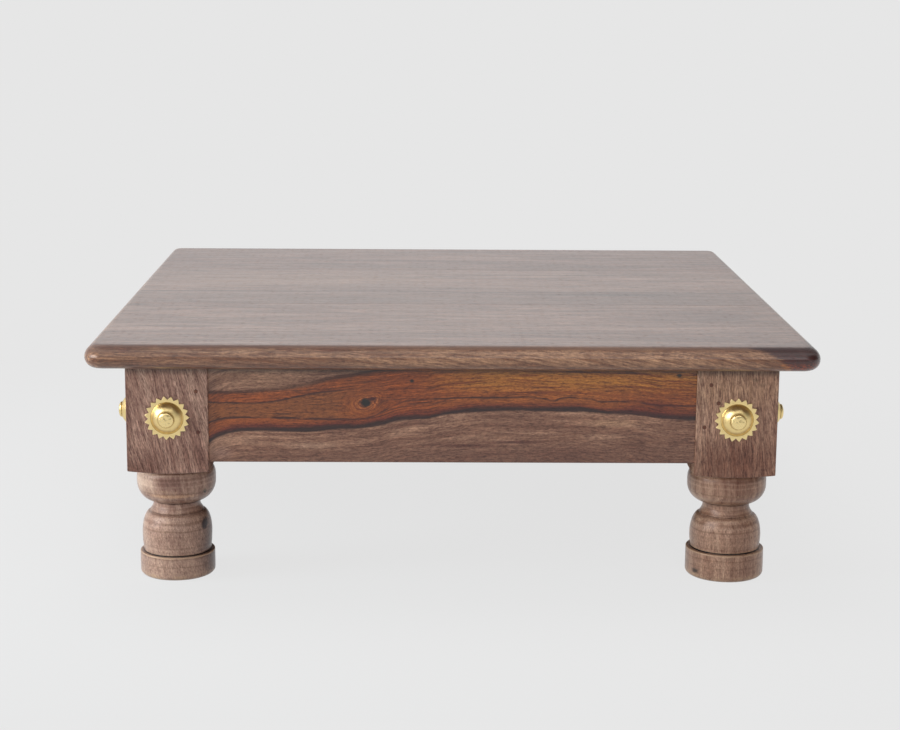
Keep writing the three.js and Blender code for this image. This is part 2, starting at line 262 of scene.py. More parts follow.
    def lay(self, below: Feed, above: Feed, *shares: Feed, mode: str = "MIX") -> Socket:
        """Lays one colour over another.

        Args:
            below: The colour below.
            above: The colour above.
            *shares: What multiplies to how much of the colour above is seen.
            mode: Blender's name for the way they mix.

        Returns:
            The mixed colour.
        """
        return self.put("ShaderNodeMix", {0: self.times(*shares), 6: below, 7: above}, 2,
                        data_type="RGBA", blend_type=mode)

    def between(self, share: Feed, first: Feed, second: Feed) -> Socket:
        """Mixes two values."""
        return self.put("ShaderNodeMix", {0: share, 2: first, 3: second}, data_type="FLOAT")

    def curve(self, value: Feed, points: Sequence[Pair]) -> Socket:
        """Adds a Float Curve through the given points, from 0 to 1 both ways."""
        made = self.node("ShaderNodeFloatCurve")
        line = made.mapping.curves[0]
        line.points[0].location = points[0]
        line.points[1].location = points[-1]
        for point in points[1:-1]:
            line.points.new(*point)
        made.mapping.update()
        self.feed(made.inputs["Value"], value)
        return made.outputs[0]

    def mixed(self, share: Feed, first: Socket, second: Socket) -> Socket:
        """Mixes two shaders."""
        return self.put("ShaderNodeMixShader", {0: share, 1: first, 2: second})


class Effect:
    """An effect that several materials share, built once as a node group.

    An input starts from the value beside its name, or is a vector where that is None.
    """

    title: ClassVar[str]
    inputs: ClassVar[dict[str, float | None]]
    outputs: ClassVar[tuple[str, ...]]

    def shape(self, graph: Graph, given: dict[str, Socket]) -> dict[str, Socket]:
        """Builds the inside of the group.

        Args:
            graph: The group's own nodes.
            given: The group's inputs by name.

        Returns:
            What feeds each of the group's outputs, by name.
        """
        raise NotImplementedError

    def tree(self) -> bpy.types.NodeTree:
        """Gives the node group, and builds it the first time."""
        known = bpy.data.node_groups.get(self.title)
        if known is not None:
            return known
        made = bpy.data.node_groups.new(self.title, "ShaderNodeTree")
        for name, start in self.inputs.items():
            kind = "NodeSocketVector" if start is None else "NodeSocketFloat"
            socket = made.interface.new_socket(name=name, in_out="INPUT", socket_type=kind)
            if start is not None:
                socket.default_value = start
        for name in self.outputs:
            made.interface.new_socket(name=name, in_out="OUTPUT", socket_type="NodeSocketFloat")
        graph = Graph(made)
        source = graph.node("NodeGroupInput").outputs
        result = graph.node("NodeGroupOutput").inputs
        for name, value in self.shape(graph, {key: source[key] for key in self.inputs}).items():
            graph.feed(result[name], value)
        return made

    def place(self, graph: Graph, **values: Feed) -> dict[str, Socket]:
        """Puts the effect into a material.

        Args:
            graph: The material's nodes.
            **values: Inputs by name, with _ for each space.

        Returns:
            The effect's outputs by name.
        """
        made = graph.node("ShaderNodeGroup", node_tree=self.tree())
        for name, value in values.items():
            graph.feed(made.inputs[name.replace("_", " ")], value)
        return {name: made.outputs[name] for name in self.outputs}


class WoodGrain(Effect):
    """Streaks, fibres and flecks along the grain, patches of colour, and ripple across it."""

    title = "wood_grain"
    inputs = {"Position": None, "Stretch": 22.0, "Streak Width": 6.0, "Fibre Width": 1.3}
    outputs = ("Streaks", "Fibres", "Flecks", "Patches", "Ripple", "Speckle")

    def shape(self, graph: Graph, given: dict[str, Socket]) -> dict[str, Socket]:
        """Stretches noise along the grain, after a slow bend that keeps it from being straight."""
        position = graph.mapped(given["Position"], (0.64, 0.0, 0.0))
        bend = graph.around(graph.stretched(position, (0.009, 0.03, 0.03), 1.0), 6.0)
        moved = graph.vector("ADD", position, graph.join(0.0, bend, bend))
        along, closer = (
            graph.vector("MULTIPLY", moved,
                         graph.join(graph.share(top, given["Stretch"]), 1.0, 1.0))
            for top in (1.0, 2.4))
        width = graph.share(1.0, given["Streak Width"])
        fine = graph.share(1.0, given["Fibre Width"])
        return {
            "Streaks": graph.noise(along, width, 4.0, 0.62, 0.4),
            "Fibres": graph.noise(closer, fine, 3.0, 0.65, 0.2),
            "Flecks": graph.noise(closer, graph.times(fine, 1.7), 1.0, 0.5, 0.6),
            "Patches": graph.noise(closer, graph.times(width, 0.4), 3.0, 0.6, 0.8),
            "Ripple": graph.stretched(moved, (0.42, 0.09, 0.09), 1.0, 3.0, 0.6, 1.2),
            "Speckle": graph.stretched(moved, (0.45, 1.0, 1.0), graph.times(fine, 0.8), 2.0, 0.7),
        }


class OpenPores(Effect):
    """Short dark dashes where the saw has opened the wood's vessels."""

    title = "open_pores"
    inputs = {"Position": None, "Length": 5.0, "Spacing": 1.6, "Share": 0.5}
    outputs = ("Pores",)

    def shape(self, graph: Graph, given: dict[str, Socket]) -> dict[str, Socket]:
        """Draws a dot in a share of the cells of a stretched Voronoi texture."""
        squeeze = graph.join(graph.share(1.0, given["Length"]), 1.0, 1.0)
        cells = graph.node("ShaderNodeTexVoronoi", feature="F1")
        graph.feed(cells.inputs["Vector"], graph.vector("MULTIPLY", given["Position"], squeeze))
        graph.feed(cells.inputs["Scale"], graph.share(1.0, given["Spacing"]))
        lot = graph.split(cells.outputs["Color"])[0]
        dot = graph.ramp(cells.outputs["Distance"], 0.34, 0.16)
        return {"Pores": graph.times(dot, graph.math("LESS_THAN", lot, given["Share"]))}


class GrowthRings(Effect):
    """Year rings round a pith that runs along the grain."""

    title = "growth_rings"
    inputs = {"Position": None, "Spacing": 5.0, "Wobble": 2.0}
    outputs = ("Line", "Band")

    def shape(self, graph: Graph, given: dict[str, Socket]) -> dict[str, Socket]:
        """Draws a dark line at the end of each year, and broad bands of several years."""
        _, y, z = graph.split(given["Position"])
        radius = graph.length(graph.join(0.0, y, z))
        slow = graph.stretched(given["Position"], (0.007, 0.035, 0.035), 1.0, 3.0, 0.55)
        wobble = graph.times(graph.less(slow, 0.5), given["Wobble"])
        phase = graph.add(graph.share(radius, given["Spacing"]), wobble)
        year = graph.math("FRACT", phase)
        line = graph.times(graph.ramp(year, 0.5, 0.93), graph.ramp(year, 1.0, 0.95))
        return {"Line": line, "Band": graph.noise_line(phase, 0.42)}


class EdgeWearAndHollowShade(Effect):
    """Wax and stain rubbed off the edges, and hollows darkened by dirt and by painted shade."""

    title = "edge_wear"
    inputs = {"Position": None, "Edge": 0.0, "Hollow": 0.0, "Amount": 0.9}
    outputs = ("Worn", "Grime")

    def shape(self, graph: Graph, given: dict[str, Socket]) -> dict[str, Socket]:
        """Breaks up the mesh's own edge and hollow values with noise."""
        coarse = graph.noise(given["Position"], 0.16, 4.0, 0.65)
        fine = graph.noise(given["Position"], 0.9, 2.0, 0.6)
        rough = graph.add(graph.around(coarse, 0.75), graph.around(fine, 0.35))
        worn = graph.ramp(graph.add(given["Edge"], rough), 0.55, 1.05)
        grime = graph.ramp(graph.add(given["Hollow"], graph.times(rough, 0.35)), 0.2, 0.9)
        return {
            "Worn": graph.times(worn, given["Amount"], graph.ramp(given["Edge"], 0.02, 0.3)),
            "Grime": graph.times(grime, graph.ramp(given["Hollow"], 0.02, 0.3)),
        }


class HandPatina(Effect):
    """Blotches of stain, fine smudges and the slight waves that a hand plane leaves."""

    title = "hand_patina"
    inputs = {"Position": None}
    outputs = ("Blotch", "Smudge", "Waves")

    def shape(self, graph: Graph, given: dict[str, Socket]) -> dict[str, Socket]:
        """Reads noise at three sizes."""
        return {
            "Blotch": graph.noise(given["Position"], 0.024, 3.0, 0.55, 0.5),
            "Smudge": graph.noise(given["Position"], 0.11, 4.0, 0.6, 0.8),
            "Waves": graph.noise(given["Position"], 0.04, 1.0, 0.4),
        }


class DarkSpot(Effect):
    """A small patch with a ragged rim, used for knots, burns and dents, and for patches of painted
    light and shade.
    """

    title = "dark_spot"
    inputs = {"Position": None, "Centre": None, "Reach": None, "Softness": 0.5}
    outputs = ("Spot",)

    def shape(self, graph: Graph, given: dict[str, Socket]) -> dict[str, Socket]:
        """Measures how far a point is from the centre, as a share of the reach."""
        offset = graph.vector("SUBTRACT", given["Position"], given["Centre"])
        distance = graph.length(graph.vector("DIVIDE", offset, given["Reach"]))
        ragged = graph.noise(given["Position"], 0.5, 3.0, 0.6)
        distance = graph.add(distance, graph.around(ragged, 0.35))
        return {"Spot": graph.ramp(distance, 1.15, graph.less(1.0, given["Softness"]))}


class TurningMarks(Effect):
    """The fine lines that a gouge leaves round a turned leg."""

    title = "turning_marks"
    inputs = {"Position": None, "Height": 0.0}
    outputs = ("Lines",)

    def shape(self, graph: Graph, given: dict[str, Socket]) -> dict[str, Socket]:
        """Reads noise that changes with height, and wanders a little on its way round."""
        wander = graph.around(graph.noise(given["Position"], 0.05, 1.0), 1.2)
        return {"Lines": graph.noise_line(graph.add(given["Height"], wander), 0.3, 3.0)}


class HeartwoodBands(Effect):
    """Heartwood between two boundaries, with their dark outlines and the lines inside it."""

    title = "heartwood_bands"
    inputs = {"Position": None, "Above Lower": 0.0, "Below Upper": 0.0, "Above Thread": 0.0,
              "Below Core Top": 0.0}
    outputs = ("Heart", "Outline", "Glow", "Thread Line", "Core Line", "Low Band", "High Band")

    def shape(self, graph: Graph, given: dict[str, Socket]) -> dict[str, Socket]:
        """Measures each boundary in millimetres, with a ragged edge along the fibres."""
        fibres = graph.stretched(given["Position"], (0.05, 0.9, 0.9), 1.0, 3.0, 0.6)
        ragged = graph.around(fibres, 1.3)
        width = graph.vector("MULTIPLY", given["Position"], (0.022, 0.05, 0.05))
        swell = graph.around(graph.noise(width, 1.0), 3.4)
        lower, upper, core = (graph.add(given[name], ragged)
                              for name in ("Above Lower", "Below Upper", "Below Core Top"))
        thread = graph.add(given["Above Thread"], graph.times(ragged, 0.5))
        thick_lower = graph.add(lower, swell)
        high_line = graph.ramp(graph.add(upper, graph.times(swell, 0.5)), 4.2, 1.2)
        broken = graph.ramp(graph.noise(width, 2.3), 0.3, 0.47, 0.3, 1.0)
        return {
            "Heart": graph.times(graph.ramp(lower, -1.3, 0.5), graph.ramp(upper, -1.6, 0.6)),
            "Outline": graph.most(graph.ramp(thick_lower, 5.0, 1.7), graph.times(high_line, 0.85)),
            "Glow": graph.ramp(thick_lower, 10.0, 3.0),
            "Thread Line": graph.times(graph.ramp(graph.size(thread), 1.3, 0.2), broken),
            "Core Line": graph.ramp(graph.size(core), 1.2, 0.2),
            "Low Band": graph.ramp(thread, 0.5, -1.0),
            "High Band": graph.ramp(core, 0.6, -1.0),
        }


class MetalAge(Effect):
    """Tarnish in the hollows of stamped metal, its hammered skin and fine scratches, and pale edges
    that are partly rubbed bright and partly painted highlight.
    """

    title = "brass_age"
    inputs = {"Position": None, "Edge": 0.0, "Hollow": 0.0}
    outputs = ("Tarnish", "Bright", "Skin")

    def shape(self, graph: Graph, given: dict[str, Socket]) -> dict[str, Socket]:
        """Breaks up the mesh's hollow value, and reads noise for the skin."""
        cloudy = graph.noise(given["Position"], 0.35, 4.0, 0.65)
        fine = graph.noise(given["Position"], 2.2, 3.0, 0.6)
        spots = graph.times(graph.ramp(cloudy, 0.5, 0.72), graph.ramp(fine, 0.4, 0.65), 0.5)
        tarnish = graph.ramp(graph.add(given["Hollow"], graph.around(cloudy, 0.35)), 0.25, 0.95)
        tarnish = graph.times(tarnish, graph.ramp(given["Hollow"], 0.02, 0.3))
        return {
            "Tarnish": graph.most(tarnish, spots),
            "Bright": graph.times(given["Edge"], graph.ramp(fine, 0.35, 0.6)),
            "Skin": graph.add(graph.times(cloudy, 0.6), graph.times(fine, 0.4)),
        }


GRAIN, PORES, RINGS = WoodGrain(), OpenPores(), GrowthRings()
WEAR_AND_SHADE, PATINA, SPOT = EdgeWearAndHollowShade(), HandPatina(), DarkSpot()
MARKS, HEART, METAL_AGE = TurningMarks(), HeartwoodBands(), MetalAge()


# --------------------------------------------------------------------------------------------
# Finishes
# --------------------------------------------------------------------------------------------


@dataclass(frozen=True)
class Spot:
    """A small place of another colour on one piece, in the table's own millimetres."""

    centre: Triple
    reach: Triple
    strength: float
    softness: float
    tint: Colour | None = None


def spots(*rows: Sequence[float]) -> tuple[Spot, ...]:
    """Gives spots from rows of centre, reach, strength, softness and perhaps a tint's levels."""
    return tuple(Spot(row[:3], row[3:6], row[6], row[7], wood(*row[8:]) if row[8:] else None)
                 for row in rows)


class Surface(Graph):
    """The nodes of one material, and the point that they colour in the table's millimetres."""

    def __init__(self, name: str) -> None:
        """Starts the material."""
        self.material = bpy.data.materials.new(name)
        self.material.use_nodes = True
        super().__init__(self.material.node_tree)
        metres = self.node("ShaderNodeTexCoord").outputs["Object"]
        self.point = self.vector("MULTIPLY", metres, (1 / MM, 1 / MM, 1 / MM))
        self.x, self.y, self.z = self.split(self.point)

    def read(self, name: str) -> Socket:
        """Reads a value that the mesh carries."""
        return self.node("ShaderNodeAttribute", attribute_name=name).outputs["Fac"]

    def toned(self, colour: Feed, value: Feed, dark: Pair, pale: Pair,
              tints: tuple[Feed, Feed], *shares: Feed) -> Socket:
        """Darkens a colour where a value is low, and pales it where the value is high.

        Args:
            colour: The colour below.
            value: What is measured.
            dark: Where the darker tint starts and is full.
            pale: Where the paler tint starts and is full.
            tints: The darker and the paler tint.
            *shares: What multiplies to how much of a tint is seen.

        Returns:
            The toned colour.
        """
        for span, tint in zip((dark, pale), tints):
            colour = self.lay(colour, tint, self.ramp(value, *span), *shares)
        return colour

    def spotted(self, colour: Feed, spot: Spot, plain: Colour) -> Socket:
        """Lays a spot over a colour, in a plain tint if it has none of its own."""
        mask = SPOT.place(self, Position=self.point, Centre=spot.centre, Reach=spot.reach,
                          Softness=spot.softness)["Spot"]
        return self.lay(colour, spot.tint or plain, mask, spot.strength)

    def finish(self, height: Feed, strength: float, depth: float,
               **inputs: Feed) -> bpy.types.Material:
        """Feeds the shader and gives it its relief.

        Args:
            height: The relief from 0 to 1.
            strength: How much of the relief is seen.
            depth: The relief's depth in millimetres.
            **inputs: The shader's other inputs by name, with _ for each space.

        Returns:
            The material.
        """
        shine = self.tree.nodes["Principled BSDF"]
        inputs["Normal"] = self.put("ShaderNodeBump", {
            "Strength": strength, "Distance": depth * MM, "Height": height})
        for name, value in inputs.items():
            self.feed(shine.inputs[name.replace("_", " ")], value)
        return self.material


@dataclass(frozen=True)
class WoodFinish:
    """Waxed sheesham as it shows on one piece.

    The grain frame is the table's frame, turned so that its X runs along the fibres. The hooks
    flow, figure, relief, texture and dullness let a kind of piece differ from plain wood.
    """

    name: str
    grain: Axis
    body: Colour
    deep: Colour
    pale: Colour
    line: Colour = wood(84, 60, 52)
    pore: Colour = wood(70, 48, 42)
    worn: Colour = wood(190, 158, 138)
    # Dark colour for dirt and painted shade in hollows, for painted shade under the top, and for
    # dark spots.
    grime: Colour = wood(52, 36, 32)
    shaded: Colour = (1.12, 0.9, 0.92, 1.0)
    lean: float = 0.0
    start: Triple = (0.0, 0.0, 0.0)
    pith: Pair = (40.0, -160.0)
    ring_spacing: float = 5.0
    ring_wobble: float = 3.0
    ring_share: float = 0.3
    band_share: float = 0.3
    streak_width: float = 5.0
    streak_share: float = 0.55
    patch_share: float = 0.45
    fibre_width: float = 0.85
    fibre_share: float = 0.85
    fleck_share: float = 0.5
    speckle_share: float = 0.3
    ripple_share: float = 0.08
    stretch: float = 22.0
    pore_share: float = 0.4
    pore_depth: float = 0.35
    roughness: float = 0.4
    specular: float = 0.5
    coat: float = 0.35
    coat_roughness: float = 0.26
    # Share of painted shade in a band just below the top's overhang.
    under_top: float = 0.0
    wear_amount: float = 0.7
    relief_share: float = 0.55
    relief_depth: float = 0.16
    spots: tuple[Spot, ...] = ()

    def grain_frame(self, on: Surface) -> Socket:
        """Turns the table's millimetres into the grain frame."""
        order = {Axis.X: (on.x, on.y, on.z), Axis.Y: (on.y, on.x, on.z), Axis.Z: (on.z, on.x, on.y)}
        turn = (0.0, 0.0, math.radians(self.lean))
        return on.mapped(on.join(*order[self.grain]), turn, self.start)

    def flow(self, on: Surface, grain: Socket) -> Socket:
        """Bends the grain. Plain wood bends nothing."""
        return grain

    def figure(self, on: Surface, grain: Socket, colour: Socket) -> Socket:
        """Adds to the colour. Plain wood adds nothing."""
        return colour

    def relief(self, on: Surface, height: Socket) -> Socket:
        """Adds to the relief. Plain wood adds nothing."""
        return height

    def texture(self, on: Surface, fibres: Socket, speckle: Socket) -> Socket:
        """Adds up the fibres and the speckle."""
        return on.add(fibres, speckle)

    def dullness(self, on: Surface) -> Socket | None:
        """Gives the share of a point that was never waxed. Plain wood is waxed all over."""
        return None

    def colours(self, on: Surface, grain: Socket, streaks: Socket, patches: Socket) -> Socket:
        """Gives the colour before its light and dark fibres.

        Args:
            on: The material's nodes.
            grain: The point in the grain frame.
            streaks: The streaks from 0 to 1.
            patches: The patches from 0 to 1.

        Returns:
            The colour with its streaks, patches, rings, figure and spots.
        """
        pith = on.vector("SUBTRACT", grain, (0.0, *self.pith))
        rings = RINGS.place(on, Position=pith, Spacing=self.ring_spacing, Wobble=self.ring_wobble)
        colour: Feed = self.body
        for value, dark, pale, share in (
            (streaks, (0.56, 0.3), (0.48, 0.72), self.streak_share),
            (patches, (0.52, 0.34), (0.5, 0.68), self.patch_share),
            (rings["Band"], (0.5, 0.3), (0.52, 0.7), self.band_share),
        ):
            colour = on.toned(colour, value, dark, pale, (self.deep, self.pale), share)
        colour = on.lay(colour, self.line, rings["Line"], self.ring_share)
        colour = self.figure(on, grain, colour)
        for spot in self.spots:
            colour = on.spotted(colour, spot, self.grime)
        return colour

    def material(self) -> bpy.types.Material:
        """Builds the material from the shared effects."""
        on = Surface(self.name)
        grain = self.flow(on, self.grain_frame(on))
        effect = GRAIN.place(on, Position=grain, Stretch=self.stretch,
                             Streak_Width=self.streak_width, Fibre_Width=self.fibre_width)
        pores = PORES.place(on, Position=grain, Share=self.pore_share)["Pores"]
        patina = PATINA.place(on, Position=on.point)
        wear = WEAR_AND_SHADE.place(on, Position=on.point, Edge=on.read("edge"), Hollow=on.read("hollow"),
                          Amount=self.wear_amount)
        colour = self.colours(on, grain, effect["Streaks"], effect["Patches"])
        fibres = on.add(on.around(effect["Fibres"], self.fibre_share),
                        on.times(on.ramp(effect["Flecks"], 0.4, 0.26), -self.fleck_share))
        swing = on.add(
            self.texture(on, fibres, on.around(effect["Speckle"], self.speckle_share)),
            on.around(effect["Ripple"], self.ripple_share),
            on.around(patina["Smudge"], 0.14),
            on.around(patina["Blotch"], 0.2),
        )
        bright = on.most(on.add(1.0, swing), 0.35)
        colour = on.put("ShaderNodeVectorMath", {0: colour, "Scale": bright}, operation="SCALE")
        colour = on.lay(colour, self.shaded, on.ramp(bright, 1.0, 0.45), mode="MULTIPLY")
        # Pores darker, worn edges paler, and hollows darker with dirt and painted shade.
        for tint, share in ((self.pore, on.times(pores, self.pore_depth)),
                            (self.worn, wear["Worn"]), (self.grime, wear["Grime"])):
            colour = on.lay(colour, tint, share)
        rough = on.add(self.roughness, on.around(effect["Streaks"], 0.1),
                       on.around(patina["Smudge"], 0.08), on.times(pores, 0.25),
                       on.times(wear["Grime"], 0.2))
        film = on.add(self.coat, on.around(effect["Streaks"], 0.15 * self.coat),
                      on.around(effect["Speckle"], 0.2 * self.coat),
                      on.times(pores, -0.4 * self.coat))
        # Painted shade: darkens a band just below the top's overhang.
        if self.under_top:
            colour = on.lay(colour, self.grime, on.ramp(on.z, 177.5, 183.0, 0.0, self.under_top))
        dull = self.dullness(on)
        if dull is not None:
            rough = on.add(rough, on.times(dull, 0.6))
            film = on.less(film, dull)
        wax = {"Coat_Weight": on.most(film, 0.0), "Coat_Roughness": self.coat_roughness}
        height = on.add(on.times(effect["Fibres"], 0.35), on.times(pores, -0.6),
                        on.times(effect["Streaks"], 0.25), on.times(patina["Waves"], 1.2))
        return on.finish(self.relief(on, height), self.relief_share, self.relief_depth,
                         Base_Color=colour, Roughness=rough, Specular_IOR_Level=self.specular,
                         **(wax if self.coat else {}))


@dataclass(frozen=True)
class TurnedFinish(WoodFinish):
    """Sheesham on a leg, where the lathe has left its marks below the block."""

    block_bottom: float = 95.0
    block_inner: float = 202.0
    mark_share: float = 0.38
    # Share of painted light that pales the turned part below 64 mm.
    low_light_share: float = 0.42

    def lines(self, on: Surface) -> tuple[Socket, Socket]:
        """Gives the lathe's lines and the share of the leg that is turned."""
        lines = MARKS.place(on, Position=on.point, Height=on.z)["Lines"]
        return lines, on.ramp(on.z, self.block_bottom + 0.5, self.block_bottom - 0.5)

    def figure(self, on: Surface, grain: Socket, colour: Socket) -> Socket:
        """Adds faint rings of darker and paler wood round the turned part, and painted light that
        pales its lower part.
        """
        lines, turned = self.lines(on)
        # Painted light: the lower turned part, bell and disc, is paler.
        colour = on.lay(colour, self.pale, on.ramp(on.z, 64.0, 50.0, 0.0, self.low_light_share))
        return on.toned(colour, lines, (0.48, 0.3), (0.52, 0.7), (wood(92, 67, 58), self.pale),
                        turned, self.mark_share)

    def texture(self, on: Surface, fibres: Socket, speckle: Socket) -> Socket:
        """Shows shorter marks where the lathe has cut across the fibres."""
        turned = self.lines(on)[1]
        low = on.ramp(on.z, 66.0, 44.0, 0.8, 1.35)
        return on.add(on.times(fibres, on.between(turned, 1.0, 0.12)),
                      on.times(speckle, on.between(turned, 1.0, low)))

    def dullness(self, on: Surface) -> Socket | None:
        """Leaves the block's two inner faces and the foot's underside without wax."""
        inner = on.most(*(on.ramp(on.size(side), self.block_inner + 0.3, self.block_inner + 0.1)
                          for side in (on.x, on.y)))
        above = on.ramp(on.z, self.block_bottom, self.block_bottom + 3.0)
        return on.most(on.times(inner, above), on.ramp(on.z, 0.4, 0.1))

    def relief(self, on: Surface, height: Socket) -> Socket:
        """Adds the lathe's lines to the relief."""
        return on.add(height, on.times(*self.lines(on), 0.9))


def depth_step(on: Surface, start: float, end: float, *levels: float) -> Socket:
    """Gives a smooth step between two depths below the top's face."""
    return on.ramp(on.z, TOP_FACE - start, TOP_FACE - end, *levels)


@dataclass(frozen=True)
class BoardFinish(WoodFinish):
    """Sheesham on one board of the top."""

    nose_tan: Colour = wood(160, 124, 98)
    face_sheen_tint: Colour = (1.0, 1.0, 1.1, 1.0)
    nose_tint: Colour = (0.72, 0.65, 0.6, 1.0)
    bare_lit_underside: Colour = wood(196, 168, 140)
    dark_strip: Pair | None = None
    heart_corner: float | None = None

    def flow(self, on: Surface, grain: Socket) -> Socket:
        """Lets the front board's fibres fall to the right on its nose."""
        if self.heart_corner is None:
            return grain
        along = on.add(on.x, 300.0)
        across, deep, up = on.split(grain)
        fall = on.times(along, along, 0.00024, depth_step(on, 0.4, 1.6))
        return on.join(across, deep, on.add(up, fall))

    def figure(self, on: Surface, grain: Socket, colour: Socket) -> Socket:
        """Tells the face, the nose and the underside apart, with a painted sheen on the face and
        painted light on the pale bare underside, and adds this board's own figure.
        """
        # Painted light: the bare underside is paler wood, painted paler still so that the brass
        # domes reflect it lighter.
        bare = on.times(self.dullness(on), 0.6)
        colour = on.lay(colour, self.bare_lit_underside, bare)
        # Painted reflection: the face is tinted cooler, towards the pale sheen it reflects.
        colour = on.lay(colour, self.face_sheen_tint, depth_step(on, 0.5, 0.05), mode="MULTIPLY")
        colour = on.lay(colour, self.nose_tint, depth_step(on, 1.5, 4.0), on.less(1.0, bare),
                        mode="MULTIPLY")
        if self.dark_strip is not None:
            colour = self.strip(on, colour)
        if self.heart_corner is not None:
            colour = self.corner(on, self.front_nose(on, grain, colour))
        return colour

    def front_nose(self, on: Surface, grain: Socket, colour: Socket) -> Socket:
        """Adds the front nose's tan and dark streaks, painted shade on its lower rounding, and a
        band of painted shade along its lip.
        """
        nose = depth_step(on, 0.8, 2.4)
        broad = on.stretched(grain, (0.011, 0.3, 0.3), 1.0, 3.0, 0.6, 0.6)
        tongue = on.add(on.z, on.around(on.noise_line(on.x, 0.035, 4.0), 4.0))
        for tint, shares in (
            (self.nose_tan, (nose, on.ramp(on.x, -200.0, 20.0), 0.45)),
            # Painted shade on the lower rounding, which faces down.
            (self.line, (depth_step(on, 9.5, 15.5), on.ramp(on.x, -100.0, 200.0, 0.5, 0.35))),
            (wood(100, 70, 58), (nose, on.ramp(broad, 0.54, 0.36), 0.7)),
            (self.nose_tan, (nose, on.ramp(broad, 0.5, 0.68), 0.6)),
            # Painted shade along the lip, where the nose turns up to the face.
            (wood(92, 58, 50), (depth_step(on, 0.02, 0.12),
                                on.ramp(tongue, TOP_FACE - 2.7, TOP_FACE - 1.2),
                                on.ramp(on.y, -270.0, -278.0),
                                on.ramp(on.x, -100.0, 0.0, 0.48, 0.3))),
        ):
            colour = on.lay(colour, tint, *shares)
        return colour

    def strip(self, on: Surface, colour: Socket) -> Socket:
        """Adds a dark strip along the board, with a darker vein at its back."""
        low, high = self.dark_strip
        wave = on.around(on.noise_line(on.x, 0.006), 9.0)
        side = on.less(on.add(on.y, wave), high)
        strip = on.times(on.ramp(side, 1.5, -1.5), on.ramp(on.y, low - 4.0, low + 2.0))
        colour = on.lay(colour, self.deep, strip, 0.45)
        return on.lay(colour, self.line, on.ramp(on.size(side), 4.0, 0.5), 0.75)

    def texture(self, on: Surface, fibres: Socket, speckle: Socket) -> Socket:
        """Shows shorter and stronger marks on the nose than on the face."""
        nose = depth_step(on, 0.4, 1.6)
        return on.add(on.times(fibres, on.between(nose, 0.7, 1.1)),
                      on.times(speckle, on.between(nose, 1.3, 1.9)))

    def dullness(self, on: Surface) -> Socket | None:
        """Leaves the underside without wax."""
        return on.ramp(on.z, TOP_UNDERSIDE + 0.4, TOP_UNDERSIDE + 0.1)

    def corner(self, on: Surface, colour: Socket) -> Socket:
        """Adds the purple heartwood at the front right corner, redder and brown-rimmed below."""
        ragged = on.around(on.stretched(on.point, (0.06, 0.4, 0.7), 1.0, 3.0, 0.6), 9.0)
        drop = on.most(on.less(TOP_FACE - 0.6, on.z), 0.0)
        deep_in = on.most(on.add(on.y, 286.0), 0.0)
        arc = on.add(self.heart_corner, on.times(on.math("POWER", drop, 0.4), 11.5),
                     on.times(deep_in, 1.6))
        heart = on.times(on.ramp(on.add(on.less(on.x, arc), ragged), -5.0, 6.0),
                         depth_step(on, 0.0, 0.5, 0.3, 1.0))
        low = depth_step(on, 9.0, 13.0)
        red = on.ramp(on.stretched(on.point, (0.2, 0.4, 0.45), 2.3, 3.0, 0.6), 0.42, 0.62)
        dark = on.lay(wood(72, 44, 41), wood(128, 70, 54), low, red)
        colour = on.lay(colour, dark, heart, 0.97)
        return on.lay(colour, wood(160, 106, 66), heart, on.less(1.0, heart), low, 2.4)


@dataclass(frozen=True)
class HeartFigure:
    """Where heartwood shows on a rail, as shares of its length and height."""

    upper: tuple[Pair, ...]
    lower: tuple[Pair, ...]
    thread: tuple[Pair, ...]
    core_top: tuple[Pair, ...]
    core_end: float = 0.3
    knot: Pair | None = None


